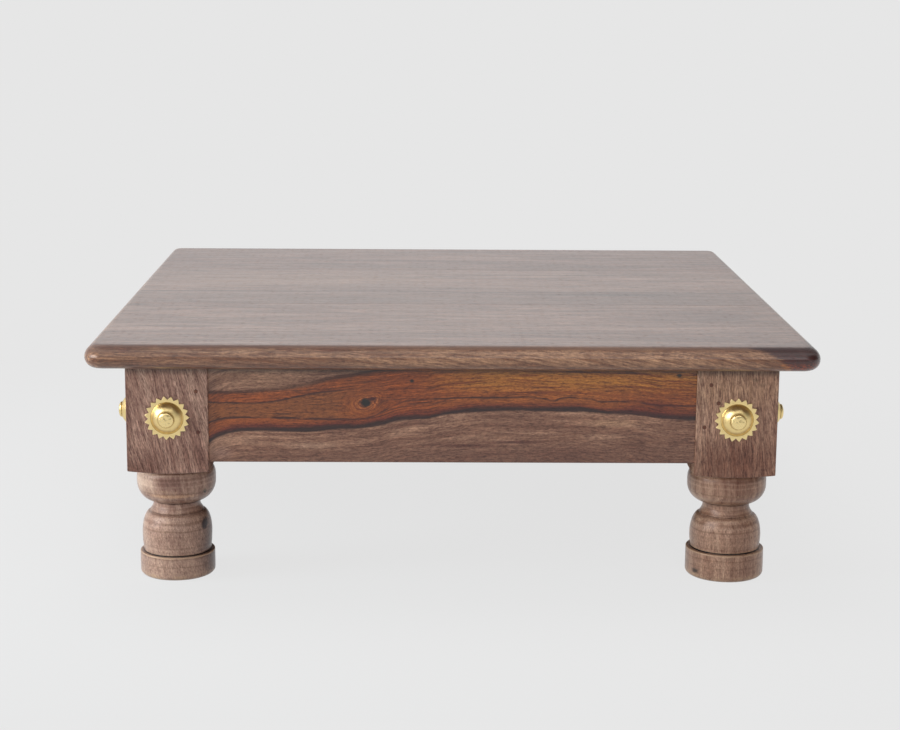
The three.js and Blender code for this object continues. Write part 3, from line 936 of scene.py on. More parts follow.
@dataclass(frozen=True, kw_only=True)
class RailFinish(WoodFinish):
    """Sheesham on a rail, with a flame of heartwood along it."""

    flame: HeartFigure
    rail_start: float = -201.7
    rail_length: float = 403.4
    rail_height: float = TOP_UNDERSIDE - RAIL_BOTTOM
    knot_reach: float = 7.0
    band: Colour = wood(141, 83, 59)
    core: Colour = wood(118, 80, 61)
    outline: Colour = wood(62, 47, 46)
    gold: Colour = wood(158, 108, 64)
    ember: Colour = wood(110, 68, 52)
    amber: Colour = wood(146, 94, 62)
    ink: Colour = wood(66, 41, 36)

    def along(self, on: Surface) -> Socket:
        """Gives the share of the rail's length at a point."""
        place = on.y if self.grain is Axis.Y else on.x
        return on.share(on.less(place, self.rail_start), self.rail_length)

    def boundary(self, on: Surface, share: Socket, points: Sequence[Pair]) -> Socket:
        """Gives a boundary's height in millimetres above the rail's lower edge."""
        return on.times(on.curve(share, points), self.rail_height)

    def knot_place(self) -> Pair:
        """Gives the knot's place in millimetres along the rail and up."""
        along, up = self.flame.knot
        return self.rail_start + self.rail_length * along, RAIL_BOTTOM + self.rail_height * up

    def from_knot(self, on: Surface) -> tuple[Socket, Socket]:
        """Gives how far a point lies beside the knot, and how far above it."""
        knot_x, knot_z = self.knot_place()
        return on.less(on.x, knot_x), on.less(on.z, knot_z)

    def flow(self, on: Surface, grain: Socket) -> Socket:
        """Lets the grain follow the heartwood's lower boundary and part round the knot."""
        lower = self.boundary(on, self.along(on), self.flame.lower)
        x, y, z = on.split(grain)
        z = on.less(z, on.times(on.less(lower, 0.45 * self.rail_height), 0.85))
        if self.flame.knot is not None:
            side, rise = self.from_knot(on)
            spread = on.add(on.times(side, side, 0.3), on.times(rise, rise), 10.0)
            z = on.less(z, on.share(on.times(rise, self.knot_reach ** 2), spread))
        return on.join(x, y, z)

    def figure(self, on: Surface, grain: Socket, colour: Socket) -> Socket:
        """Lays the heartwood over the sapwood."""
        flame = self.flame
        wander = on.around(on.stretched(on.point, (0.03, 0.03, 0.03), 1.0, 3.0, 0.55), 0.9)
        share = self.along(on)
        height = on.add(on.less(on.z, RAIL_BOTTOM), wander)
        lower, upper, thread, core_top = (
            self.boundary(on, share, points)
            for points in (flame.lower, flame.upper, flame.thread, flame.core_top))
        masks = HEART.place(on, Position=grain, Above_Lower=on.less(height, lower),
                            Below_Upper=on.less(upper, height),
                            Above_Thread=on.less(height, thread),
                            Below_Core_Top=on.less(core_top, height))
        streak = on.stretched(grain, (0.012, 0.34, 0.34), 1.0, 5.0, 0.7, 0.5)
        heart = self.heartwood(on, grain, share, height, streak, masks)
        above = on.ramp(height, 60.0, 66.0, 0.0, 0.75)
        colour = on.toned(colour, streak, (0.54, 0.36), (0.5, 0.64), (self.deep, self.pale), above)
        colour = on.lay(colour, self.deep, on.ramp(height, 24.0, 3.0),
                        on.ramp(share, 0.2, 0.5, 0.35, 0.7))
        return on.lay(colour, heart, masks["Heart"])

    def heartwood(self, on: Surface, grain: Socket, share: Socket, height: Socket, streak: Socket,
                  masks: dict[str, Socket]) -> Socket:
        """Gives the heartwood's colour: a dark core at the left, and golden wood at the right.

        Args:
            on: The material's nodes.
            grain: The point in the grain frame.
            share: The share of the rail's length at a point.
            height: The height above the rail's lower edge.
            streak: The heartwood's streaks from 0 to 1.
            masks: The outputs of the heartwood effect.

        Returns:
            The colour.
        """
        end = self.flame.core_end
        left = on.ramp(share, end + 0.07, end - 0.07)
        right = on.ramp(share, end + 0.1, end + 0.3)
        fine = on.stretched(grain, (0.035, 0.9, 0.9), 1.0, 3.0, 0.62, 0.3)
        golden = on.times(on.ramp(height, 58.0, 68.0), on.ramp(height, 83.0, 77.0), right)
        glowing = on.lay(self.ember, self.band, on.ramp(fine, 0.3, 0.66))
        glowing = on.lay(glowing, self.amber, right, 0.55)
        low_band = on.times(masks["Low Band"], on.ramp(share, 0.62, 0.95, 0.9, 0.35))
        bands = on.most(low_band, on.times(masks["High Band"], left))
        lines = on.most(masks["Thread Line"], on.times(masks["Core Line"], left))
        heart: Feed = self.ember
        for tint, shares in (
            (self.band, (on.ramp(streak, 0.36, 0.62),)),
            (self.amber, (right, on.ramp(streak, 0.34, 0.6), 0.7)),
            (self.gold, (golden, on.ramp(streak, 0.36, 0.56), 0.9)),
            (self.core, (left, 0.85)),
            (glowing, (bands, 0.9)),
            (self.ink, (on.ramp(fine, 0.46, 0.3), 0.7)),
            (self.ink, (on.ramp(streak, 0.4, 0.3), right, 0.45)),
            (self.ink, (lines, 0.9)),
        ):
            heart = on.lay(heart, tint, *shares)
        if self.flame.knot is not None:
            heart = self.with_knot(on, heart)
        heart = on.lay(heart, wood(90, 56, 48), masks["Glow"], 0.75)
        return on.lay(heart, self.outline, masks["Outline"], 0.95)

    def with_knot(self, on: Surface, heart: Socket) -> Socket:
        """Adds the knot and the rings that swirl round it."""
        side, rise = self.from_knot(on)
        tilted = on.add(rise, on.times(side, -0.25))
        radius = on.length(on.join(on.times(side, 0.62), 0.0, tilted))
        swirl = on.add(radius, on.around(on.noise(on.point, 0.1, 3.0, 0.6), 3.0))
        rings = on.noise_line(swirl, 0.95)
        near = on.ramp(radius, 17.0, 4.0)
        heart = on.lay(heart, wood(142, 88, 60), near, 0.5)
        heart = on.lay(heart, wood(158, 100, 68), on.ramp(radius, 8.0, 5.5), 0.5)
        heart = on.lay(heart, wood(92, 56, 46), near, on.ramp(rings, 0.54, 0.38), 0.7)
        x, z = self.knot_place()
        for spot in spots(
            (x + 5.2, -RAIL_FACE, z + 3.4, 5.0, 12.0, 2.4, 1.0, 0.7, 78, 52, 46),
            (x, -RAIL_FACE, z, 5.6, 12.0, 4.4, 1.0, 0.5, 56, 50, 50),
        ):
            heart = on.spotted(heart, spot, self.grime)
        return heart


@dataclass(frozen=True)
class MetalFinish:
    """Polished metal with a little tarnish in its hollows, stamped brass unless told otherwise."""

    name: str = "stamped_brass"
    clean: Colour = paint(244, 218, 154)
    aged: Colour = paint(150, 116, 60)
    bright: Colour = paint(252, 238, 196)
    roughness: float = 0.34
    roughness_swing: float = 0.1
    tarnish_share: float = 0.75
    tarnish_roughness: float = 0.2
    bright_share: float = 0.6
    relief_share: float = 0.35
    dent_depth: float = 0.2

    def material(self) -> bpy.types.Material:
        """Builds the material from the shared effect."""
        on = Surface(self.name)
        age = METAL_AGE.place(on, Position=on.point, Edge=on.read("edge"), Hollow=on.read("hollow"))
        colour = on.lay(self.clean, self.aged, age["Tarnish"], self.tarnish_share)
        # Pales the edges: partly rubbed bright, partly painted highlight on the teeth.
        colour = on.lay(colour, self.bright, age["Bright"], self.bright_share)
        rough = on.add(self.roughness, on.around(age["Skin"], self.roughness_swing),
                       on.times(age["Tarnish"], self.tarnish_roughness))
        return on.finish(age["Skin"], self.relief_share, self.dent_depth, Base_Color=colour,
                         Metallic=1.0, Roughness=rough)


# --------------------------------------------------------------------------------------------
# Meshes
# --------------------------------------------------------------------------------------------

CREASE = 38.0


@dataclass
class Loft:
    """A skin stretched over rings that all have the same number of points, in millimetres."""

    rings: list[list[Vector]] = field(default_factory=list)
    edges: list[float] = field(default_factory=list)
    hollows: list[float] = field(default_factory=list)

    def add(self, ring: list[Vector], edge: float | list[float] = 0.0, hollow: float = 0.0) -> None:
        """Adds a ring.

        Args:
            ring: Its points.
            edge: How exposed it is to wear, for the whole ring or for each point.
            hollow: How deep in a hollow it lies.
        """
        self.rings.append(ring)
        self.edges += edge if isinstance(edge, list) else [edge] * len(ring)
        self.hollows += [hollow] * len(ring)

    def faces(self, closed: bool) -> list[tuple[int, ...]]:
        """Joins each ring to the next one, and closes the ends unless the last meets the first."""
        count = len(self.rings[0])
        total = len(self.rings) * count
        faces = []
        for low in range(0, total if closed else total - count, count):
            high = (low + count) % total
            for index in range(count):
                after = (index + 1) % count
                faces.append((low + index, low + after, high + after, high + index))
        if not closed:
            faces += [tuple(range(count)), tuple(range(total - count, total))]
        return faces

    def build(self, name: str, place: Matrix = Matrix.Identity(4), closed: bool = False,
              crease: float = CREASE) -> bpy.types.Object:
        """Makes the piece.

        Args:
            name: The piece's name.
            place: Where it stands, in millimetres.
            closed: Whether the last ring joins the first one, as round a tube's hole.
            crease: The angle in degrees from which an edge stays sharp.

        Returns:
            The new object, in metres.
        """
        points = [tuple(place @ point * MM) for ring in self.rings for point in ring]
        mesh = bpy.data.meshes.new(name)
        mesh.from_pydata(points, [], self.faces(closed))
        worked = bmesh.new()
        worked.from_mesh(mesh)
        bmesh.ops.recalc_face_normals(worked, faces=worked.faces)
        worked.to_mesh(mesh)
        worked.free()
        for key, values in (("edge", self.edges), ("hollow", self.hollows)):
            mesh.attributes.new(key, "FLOAT", "POINT").data.foreach_set("value", values)
        return smoothed(name, mesh, crease)


def shown(name: str, data: bpy.types.ID) -> bpy.types.Object:
    """Puts a mesh, a lamp or a camera into the scene as an object."""
    piece = bpy.data.objects.new(name, data)
    bpy.context.scene.collection.objects.link(piece)
    return piece


def smoothed(name: str, mesh: bpy.types.Mesh, crease: float = CREASE) -> bpy.types.Object:
    """Smooths a mesh up to an angle and puts it into the scene."""
    mesh.polygons.foreach_set("use_smooth", [True] * len(mesh.polygons))
    mesh.set_sharp_from_angle(angle=math.radians(crease))
    return shown(name, mesh)


def steady_normals(piece: bpy.types.Object) -> None:
    """Lets the large flat faces of a piece stay flat beside its round edges."""
    modifier = piece.modifiers.new("steady_normals", "WEIGHTED_NORMAL")
    modifier.keep_sharp = True
    modifier.weight = 100


def polar(radius: float, angle: float, height: float) -> Vector:
    """Gives a point beside the Z axis."""
    return Vector((radius * math.cos(angle), radius * math.sin(angle), height))


def circle(radius: float | Callable[[float], float], height: float,
           angles: Sequence[float]) -> list[Vector]:
    """Gives points round the Z axis, whose radius may depend on their angle."""
    reach = radius if callable(radius) else (lambda _: radius)
    return [polar(reach(angle), angle, height) for angle in angles]


def even_angles(count: int, start: float = 0.0) -> list[float]:
    """Gives angles that are evenly spread over a turn."""
    return [start + math.tau * index / count for index in range(count)]


def arch(centre: Pair, reach: float, rise: float, start: float, end: float,
         steps: int) -> list[Pair]:
    """Gives part of an ellipse as pairs of radius and height.

    Args:
        centre: The ellipse's centre.
        reach: Its half width.
        rise: Its half height.
        start: The first angle in quarter turns.
        end: The last angle in quarter turns.
        steps: The number of parts.

    Returns:
        The pairs, with both ends.
    """
    angles = [(start + (end - start) * step / steps) * math.pi / 2 for step in range(steps + 1)]
    return [(centre[0] + reach * math.cos(angle), centre[1] + rise * math.sin(angle))
            for angle in angles]


def rounded_outline(half_x: float, half_y: float, radius: float, steps: int,
                    margin: float = 0.0) -> list[Pair]:
    """Gives a rectangle with round corners.

    Args:
        half_x: Half its width.
        half_y: Half its depth.
        radius: The corners' radius.
        steps: Parts in each corner.
        margin: How far beyond each corner one more point lies on each side, or 0 for none.

    Returns:
        Its points, from the right side on round.
    """
    points = []
    for corner, (side_x, side_y) in enumerate(((1, 1), (-1, 1), (-1, -1), (1, -1))):
        centre = (side_x * (half_x - radius), side_y * (half_y - radius))
        arc = arch(centre, radius, radius, corner, corner + 1, steps)
        if margin:
            start, end = corner * math.pi / 2, (corner + 1) * math.pi / 2
            (first_x, first_y), (last_x, last_y) = arc[0], arc[-1]
            before = (first_x + margin * math.sin(start), first_y - margin * math.cos(start))
            after = (last_x - margin * math.sin(end), last_y + margin * math.cos(end))
            arc = [before, *arc, after]
        points += arc
    return points


def letter_sum(node: str) -> int:
    """Gives a node's own number, so that no two like pieces are dented alike."""
    return sum(ord(letter) for letter in node)


def outward_frame(node: str) -> Matrix:
    """Finds where a CAD node on a vertical face of the table stands.

    Args:
        node: The node's name, whose fourth word is end where the piece points along Y.

    Returns:
        A matrix in millimetres. Its Z points out of the face, its Y points up, and its origin lies
        on the node's own centre line, in the plane of the table's axis.
    """
    low, high = (Vector(corner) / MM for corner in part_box(node))
    origin = (low + high) / 2
    axis = (Axis.Y if node.split("_")[3] == "end" else Axis.X).value
    out = Vector((0.0, 0.0, 0.0))
    out[axis] = math.copysign(1.0, origin[axis])
    origin[axis] = 0.0
    up = Vector((0.0, 0.0, 1.0))
    return Matrix.Translation(origin) @ Matrix((up.cross(out), up, out)).transposed().to_4x4()


def fit_out(piece: bpy.types.Object, finish: bpy.types.Material, node: str) -> None:
    """Gives a piece its finish and its place in the frame, and reports it.

    Args:
        piece: The new piece.
        finish: Its material.
        node: The CAD node that it stands for.
    """
    piece.data.materials.append(finish)
    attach(piece, ROOT_BODY)
    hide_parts(node)
    LOG.info("%s: %d faces, for %s", piece.name, len(piece.data.polygons), node)


# --------------------------------------------------------------------------------------------
# Sub-assemblies
# --------------------------------------------------------------------------------------------


@dataclass
class BoardTop:
    """The top: three boards glued edge to edge, with a bullnose all round."""

    finishes: dict[str, WoodFinish]
    half_width: float = 300.0
    nose_radius: float = 8.6
    lip_reach: float = 22.0
    front_corner_radius: float = 16.0
    back_corner_radius: float = 12.0
    seams: Pair = (-75.0, 142.0)
    seam_gap: float = 0.02
    seam_arris: float = 0.35
    nose_steps: int = 12
    corner_steps: int = 8
    margin: float = 1.6
    nose_wear: float = 0.45

    def profile(self, reach: float) -> list[Triple]:
        """Gives the edge's section from the top face down.

        Args:
            reach: How far in the upper rounding starts.

        Returns:
            The inset, height and wear of each row.
        """
        radius = self.nose_radius
        angles = [step / self.nose_steps * math.pi / 2 for step in range(self.nose_steps + 1)]
        upper = [(reach * (1 - math.cos(angle)), TOP_FACE - radius + radius * math.sin(angle),
                  self.nose_wear * math.sin(2 * angle)) for angle in reversed(angles)]
        lower = [(radius * (1 - math.cos(angle)), TOP_UNDERSIDE + radius - radius * math.sin(angle),
                  0.0) for angle in angles]
        return [(reach + self.margin, TOP_FACE, 0.0), *upper, *lower,
                (radius + self.margin, TOP_UNDERSIDE, 0.0)]

    def slab(self) -> bmesh.types.BMesh:
        """Builds the whole top as one slab, whose front edge is sanded over further."""
        loft = Loft()
        for (inset, height, wear), (front, _, _) in zip(self.profile(self.nose_radius),
                                                        self.profile(self.lip_reach)):
            half = self.half_width - inset
            shorter = (self.half_width - front) / half
            near, far = (rounded_outline(half, half, radius - inset, self.corner_steps)
                         for radius in (self.front_corner_radius, self.back_corner_radius))
            loft.add([Vector((x, y * shorter, height)) if y < 0 else Vector((*other, height))
                      for (x, y), other in zip(near, far)], wear)
        mesh = loft.build("top_slab").data
        slab = bmesh.new()
        slab.from_mesh(mesh)
        bpy.data.meshes.remove(mesh)
        return slab

    def board(self, name: str, front: float | None, back: float | None) -> bpy.types.Object:
        """Cuts one board out of the slab.

        Args:
            name: The board's name.
            front: Its front seam, or None at the table's front edge.
            back: Its back seam, or None at the table's back edge.

        Returns:
            The board, with its seam edges eased.
        """
        slab = self.slab()
        for seam, side in ((front, 1), (back, -1)):
            if seam is None:
                continue
            cut = bmesh.ops.bisect_plane(
                slab, geom=[*slab.verts, *slab.edges, *slab.faces], clear_outer=True,
                plane_co=(0.0, (seam + side * self.seam_gap) * MM, 0.0), plane_no=(0.0, -side, 0.0))
            rim = [item for item in cut["geom_cut"] if isinstance(item, bmesh.types.BMEdge)]
            bmesh.ops.contextual_create(slab, geom=rim)
            level = TOP_FACE * MM - MM / 100
            upper = [edge for edge in rim if all(vert.co.z > level for vert in edge.verts)]
            bmesh.ops.bevel(slab, geom=upper, offset=self.seam_arris * MM, segments=2,
                            affect="EDGES", profile=0.5)
        bmesh.ops.recalc_face_normals(slab, faces=slab.faces)
        mesh = bpy.data.meshes.new(name)
        slab.to_mesh(mesh)
        slab.free()
        return smoothed(name, mesh)

    def build(self) -> None:
        """Builds and dresses the three boards."""
        first, second = self.seams
        for name, front, back in (("front", None, first), ("middle", first, second),
                                  ("back", second, None)):
            board = self.board(f"board_{name}", front, back)
            steady_normals(board)
            fit_out(board, self.finishes[name].material(), f"top_board_{name}")


class Corner(Enum):
    """The table's four corners, with the side that each lies on along X and along Y."""

    FRONT_LEFT = ("front_left", -1, -1)
    FRONT_RIGHT = ("front_right", 1, -1)
    BACK_LEFT = ("back_left", -1, 1)
    BACK_RIGHT = ("back_right", 1, 1)


@dataclass(frozen=True)
class Turning:
    """The sizes that differ between the two ways the legs came off the lathe."""

    block_height: float
    bulb_radius: float
    bulb_drop: float
    neck_height: float
    bell_radius: float
    disc_radius: float
    disc_height: float

    @property
    def block_bottom(self) -> float:
        """Gives the height at which the square block ends."""
        return TOP_UNDERSIDE - self.block_height


SLIM = Turning(94.0, 33.3, 29.1, 10.1, 29.5, 31.6, 20.4)
STOUT = Turning(96.0, 33.4, 27.2, 11.4, 30.2, 33.1, 23.8)


@dataclass
class Leg:
    """One leg: a square block above, and a bulb, neck, bell and foot disc below."""

    corner: Corner
    turning: Turning
    finish: WoodFinish
    centre: float = 236.0
    half_width: float = 34.0
    arris: float = 1.2
    turned_inward: float = 1.3
    left_inward: float = 2.5
    shoulder_rise: float = 2.4
    shoulder_ease: float = 0.5
    bulb_full_drop: float = 12.4
    bulb_top_inset: float = 3.2
    neck_radius: float = 20.0
    neck_flare: float = 2.8
    neck_waist: float = 0.55
    groove_depth: float = 0.6
    groove_width: float = 1.1
    bell_shoulder: float = 18.5
    bell_foot_inset: float = 1.0
    disc_edge: float = 4.0
    rim_ease: float = 0.6
    unevenness: float = 0.16
    sides: int = 112
    crease: float = 32.0

    def angles(self) -> list[float]:
        """Gives the angles of the rings' points, closer together at the block's corners."""
        angles = set(even_angles(self.sides))
        for middle in even_angles(4, math.pi / 4):
            for turn in (0.25, 0.7, 1.15, 1.6):
                angles |= {middle - math.radians(turn), middle + math.radians(turn)}
        return sorted(angles)

    def block_reach(self, angle: float) -> float:
        """Gives how far the block reaches in a direction, with its eased edges."""
        across, up = abs(math.cos(angle)), abs(math.sin(angle))
        flat = self.half_width / max(across, up)
        inner = self.half_width - self.arris
        if flat * min(across, up) <= inner:
            return flat
        along = inner * (across + up)
        return along + math.sqrt(max(along * along - 2 * inner * inner + self.arris ** 2, 0.0))

    def foot_rows(self, bell_foot: float) -> list[Row]:
        """Gives the foot disc and the groove above it as radius, height, wear and hollow."""
        disc, ledge, edge = self.turning.disc_radius, self.turning.disc_height, self.disc_edge
        ease, groove = self.rim_ease, self.groove_width
        under = arch((disc - edge, edge), edge, edge, -1, 0, 8)
        rim = arch((disc - ease, ledge - ease), ease, ease, 0, 1, 3)
        return [
            (disc - edge - 6, 0.0, 0.0, 0.4),
            *((radius, height, 0.75 if height > 0.4 else 0.2, 0.0) for radius, height in under),
            (disc, edge + 2.5, 0.1, 0.0),
            *((disc, edge + 2.5 + share * (ledge - edge - 5.0), 0.0, 0.0)
              for share in (0.25, 0.5, 0.75)),
            (disc, ledge - 2.2, 0.1, 0.0),
            *((radius, height, 1.0, 0.0) for radius, height in rim),
            ((disc + bell_foot) / 2, ledge, 0.3, 0.1),
            (bell_foot - 0.1, ledge, 0.0, 0.7),
            (bell_foot - self.groove_depth, ledge + groove / 2, 0.0, 1.0),
            (bell_foot, ledge + groove, 0.5, 0.3),
            (bell_foot + 0.25, ledge + groove + 1.6, 0.25, 0.0),
        ]

    def neck_rows(self, neck_base: float, neck_foot: float, bulb_foot: float) -> list[Row]:
        """Gives the neck between its two grooves as radius, height, wear and hollow."""
        groove, depth, radius = self.groove_width, self.groove_depth, self.neck_radius
        low, high = neck_foot + groove, bulb_foot - groove
        rows = [(neck_base - depth * 0.8, neck_foot + groove * 0.45, 0.0, 0.6),
                (neck_base - 0.1, low, 0.3, 0.35)]
        for share in (0.1, 0.2, 0.35, 0.5, 0.65, 0.8):
            cove = (1 - share) ** 2
            waist = self.neck_waist * math.sin(share * math.pi)
            rows.append((radius + (neck_base - radius) * cove - waist, low + (high - low) * share,
                         0.15 * cove, 0.15 * share))
        return [*rows, (radius, high, 0.0, 0.45),
                (radius - depth, bulb_foot - groove / 2, 0.0, 0.65)]

    def profile(self) -> list[Row]:
        """Gives the turned part as radius, height, wear and hollow, from the foot up."""
        turning = self.turning
        bulb_foot = turning.block_bottom - turning.bulb_drop
        bulb_middle = turning.block_bottom - self.bulb_full_drop
        neck_foot = bulb_foot - turning.neck_height
        bell_middle = neck_foot - self.bell_shoulder
        neck_base = self.neck_radius + self.neck_flare
        bell = arch((neck_base, bell_middle), turning.bell_radius - neck_base, self.bell_shoulder,
                    0, 1, 14)
        bulb = arch((self.neck_radius, bulb_middle), turning.bulb_radius - self.neck_radius,
                    bulb_middle - bulb_foot, -1, 0, 16)
        return [
            *self.foot_rows(turning.bell_radius - self.bell_foot_inset),
            (turning.bell_radius - 0.2, (turning.disc_height + bell_middle) / 2 + 1.0, 0.0, 0.0),
            *((radius, height, 0.3 * max(0.0, 1 - (neck_foot - height) / 2.2), 0.0)
              for radius, height in bell),
            *self.neck_rows(neck_base, neck_foot, bulb_foot),
            *((radius, height, 0.7 * max(0.0, 1 - abs(height - bulb_middle + 4.2) / 4.5),
               0.6 * max(0.0, 1 - (height - bulb_foot) / 1.5)) for radius, height in bulb),
            *((turning.bulb_radius - self.bulb_top_inset * share ** 5,
               bulb_middle + share * self.bulb_full_drop, 0.0, hollow)
              for share, hollow in ((0.35, 0.0), (0.6, 0.0), (0.8, 0.0), (0.92, 0.3), (1.0, 0.7))),
        ]

    def turned_ring(self, radius: float, height: float, angles: Sequence[float]) -> list[Vector]:
        """Gives a ring of the turned part, with the small error of a hand-held gouge."""
        _, side_x, side_y = self.corner.value
        seed = 11.0 * self.centre * side_x + 5.0 * side_y
        aside = self.left_inward if side_x < 0 else self.turned_inward
        inward = Vector((-side_x * aside, -side_y * self.turned_inward, 0.0))
        return [
            inward + polar(radius + self.unevenness * noise.noise(
                (math.cos(angle) + seed, math.sin(angle), height * 0.05)), angle, height)
            for angle in angles
        ]

    def build(self) -> None:
        """Builds the leg in one skin, from the foot's underside to the block's top."""
        angles = self.angles()
        name, side_x, side_y = self.corner.value
        loft = Loft()
        for radius, height, edge, hollow in self.profile():
            loft.add(self.turned_ring(radius, height, angles), edge, hollow)
        self.shoulder(loft, angles)
        self.block(loft, angles)
        place = Matrix.Translation((side_x * self.centre, side_y * self.centre, 0.0))
        piece = loft.build(f"turned_leg_{name}", place, crease=self.crease)
        fit_out(piece, self.finish.material(), f"leg_{name}")

    def shoulder(self, loft: Loft, angles: Sequence[float]) -> None:
        """Adds the conical shoulder below the block, and the block's eased lower edge."""
        bottom = self.turning.block_bottom
        root = self.turning.bulb_radius - self.bulb_top_inset
        reach = [self.block_reach(angle) for angle in angles]
        slope = self.shoulder_rise / (max(reach) - root)
        for share, hollow in ((0.5, 0.5), (1.0, 0.0)):
            outs = [(far - self.shoulder_ease - root) * share for far in reach]
            loft.add([polar(root + out, angle, bottom + slope * out)
                      for angle, out in zip(angles, outs)], share * 0.2, hollow)
        for inset, rise in ((0.16, 0.14), (0.0, 0.55)):
            loft.add([polar(far - inset, angle, bottom + slope * (far - root) + rise)
                      for angle, far in zip(angles, reach)], 0.2)

    def block(self, loft: Loft, angles: Sequence[float]) -> None:
        """Adds the faces of the square block."""
        bottom, height = self.turning.block_bottom, self.turning.block_height
        on_arris = [max(0.0, 0.4 - abs(angle % (math.pi / 2) - math.pi / 4) / math.radians(4.0))
                    for angle in angles]
        for rise in (self.shoulder_rise + 1.5, self.shoulder_rise + 6.0,
                     *(height * share for share in (0.35, 0.65, 0.9, 1.0))):
            loft.add(circle(self.block_reach, bottom + rise, angles), on_arris)


class Side(Enum):
    """The four sides of the apron, with the axis each runs along and the way it looks out."""

    FRONT = ("front", Axis.X, -1)
    BACK = ("back", Axis.X, 1)
    LEFT = ("left", Axis.Y, -1)
    RIGHT = ("right", Axis.Y, 1)


@dataclass
class Rail:
    """One apron rail with a tenon at each end."""

    side: Side
    finish: WoodFinish
    shoulder: float = 202.0
    thickness: float = 20.0
    arris: float = 1.2
    tenon_length: float = 26.0
    tenon_thickness: float = 9.0
    tenon_shoulder: float = 10.0
    tenon_arris: float = 0.6
    arris_steps: int = 3
    arris_margin: float = 1.6
    margin: float = 2.5

    def section(self, along: float, thickness: float, inset: float, arris: float) -> list[Vector]:
        """Gives one cross-section.

        Args:
            along: Its place along the rail.
            thickness: How thick the rail is there.
            inset: How far its lower and upper edges lie inside the rail's own.
            arris: How far its edges are rounded.

        Returns:
            The section's points in the table's frame.
        """
        half_height = (TOP_UNDERSIDE - RAIL_BOTTOM) / 2 - inset
        _, axis, side = self.side.value
        points = []
        for out, rise in rounded_outline(thickness / 2, half_height, arris, self.arris_steps,
                                         self.arris_margin):
            away = side * (RAIL_FACE - self.thickness / 2 + out)
            height = (RAIL_BOTTOM + TOP_UNDERSIDE) / 2 + rise
            points.append(Vector((along, away, height) if axis is Axis.X
                                 else (away, along, height)))
        return points

    def build(self) -> None:
        """Builds the rail as a loft along its length."""
        tip, inset = self.shoulder + self.tenon_length, self.tenon_shoulder
        full = (self.thickness, 0.0, self.arris)
        tenon = (self.tenon_thickness, inset, self.tenon_arris)
        ends = [
            (tip, self.tenon_thickness - 1.0, inset + 0.5, self.tenon_arris),
            (tip - 0.6, *tenon), (self.shoulder, *tenon),
            (self.shoulder, *full), (self.shoulder - self.margin, *full),
        ]
        body = [(share * self.shoulder, *full) for share in (-0.6, -0.2, 0.2, 0.6)]
        on_arris = [0.0, *[0.2] * (self.arris_steps + 1), 0.0] * 4
        loft = Loft()
        for section in [*((-along, *rest) for along, *rest in ends), *body, *reversed(ends)]:
            loft.add(self.section(*section), on_arris)
        name = self.side.value[0]
        piece = loft.build(f"apron_rail_{name}")
        steady_normals(piece)
        fit_out(piece, self.finish.material(), f"rail_{name}")


@dataclass
class Peg:
    """A whittled pin that locks a tenon, trimmed almost flush with the leg."""

    radius: float = 1.75
    proud: float = 0.14
    depth: float = 24.0
    unevenness: float = 0.07
    sides: int = 14

    def build(self, node: str, finish: bpy.types.Material) -> None:
        """Builds one peg for its CAD node."""
        seed = letter_sum(node)
        loft = Loft()
        for shrink, rise, hollow in (
            (0.5, -self.depth, 0.0), (0.1, 2 - self.depth, 0.0), (0.0, -0.1, 1.0),
            (0.02, self.proud * 0.4, 0.9), (0.3, self.proud, 0.15), (0.9, self.proud * 1.1, 0.0),
        ):
            ring = []
            for angle in even_angles(self.sides):
                spot = (1.3 * math.cos(angle) + seed, 1.3 * math.sin(angle), 0.0)
                radius = (self.radius - shrink) * (1 + self.unevenness * noise.noise(spot))
                ring.append(polar(radius, angle, LEG_FACE + rise))
            loft.add(ring, 0.0, hollow)
        fit_out(loft.build(f"whittled_{node}", outward_frame(node)), finish, node)


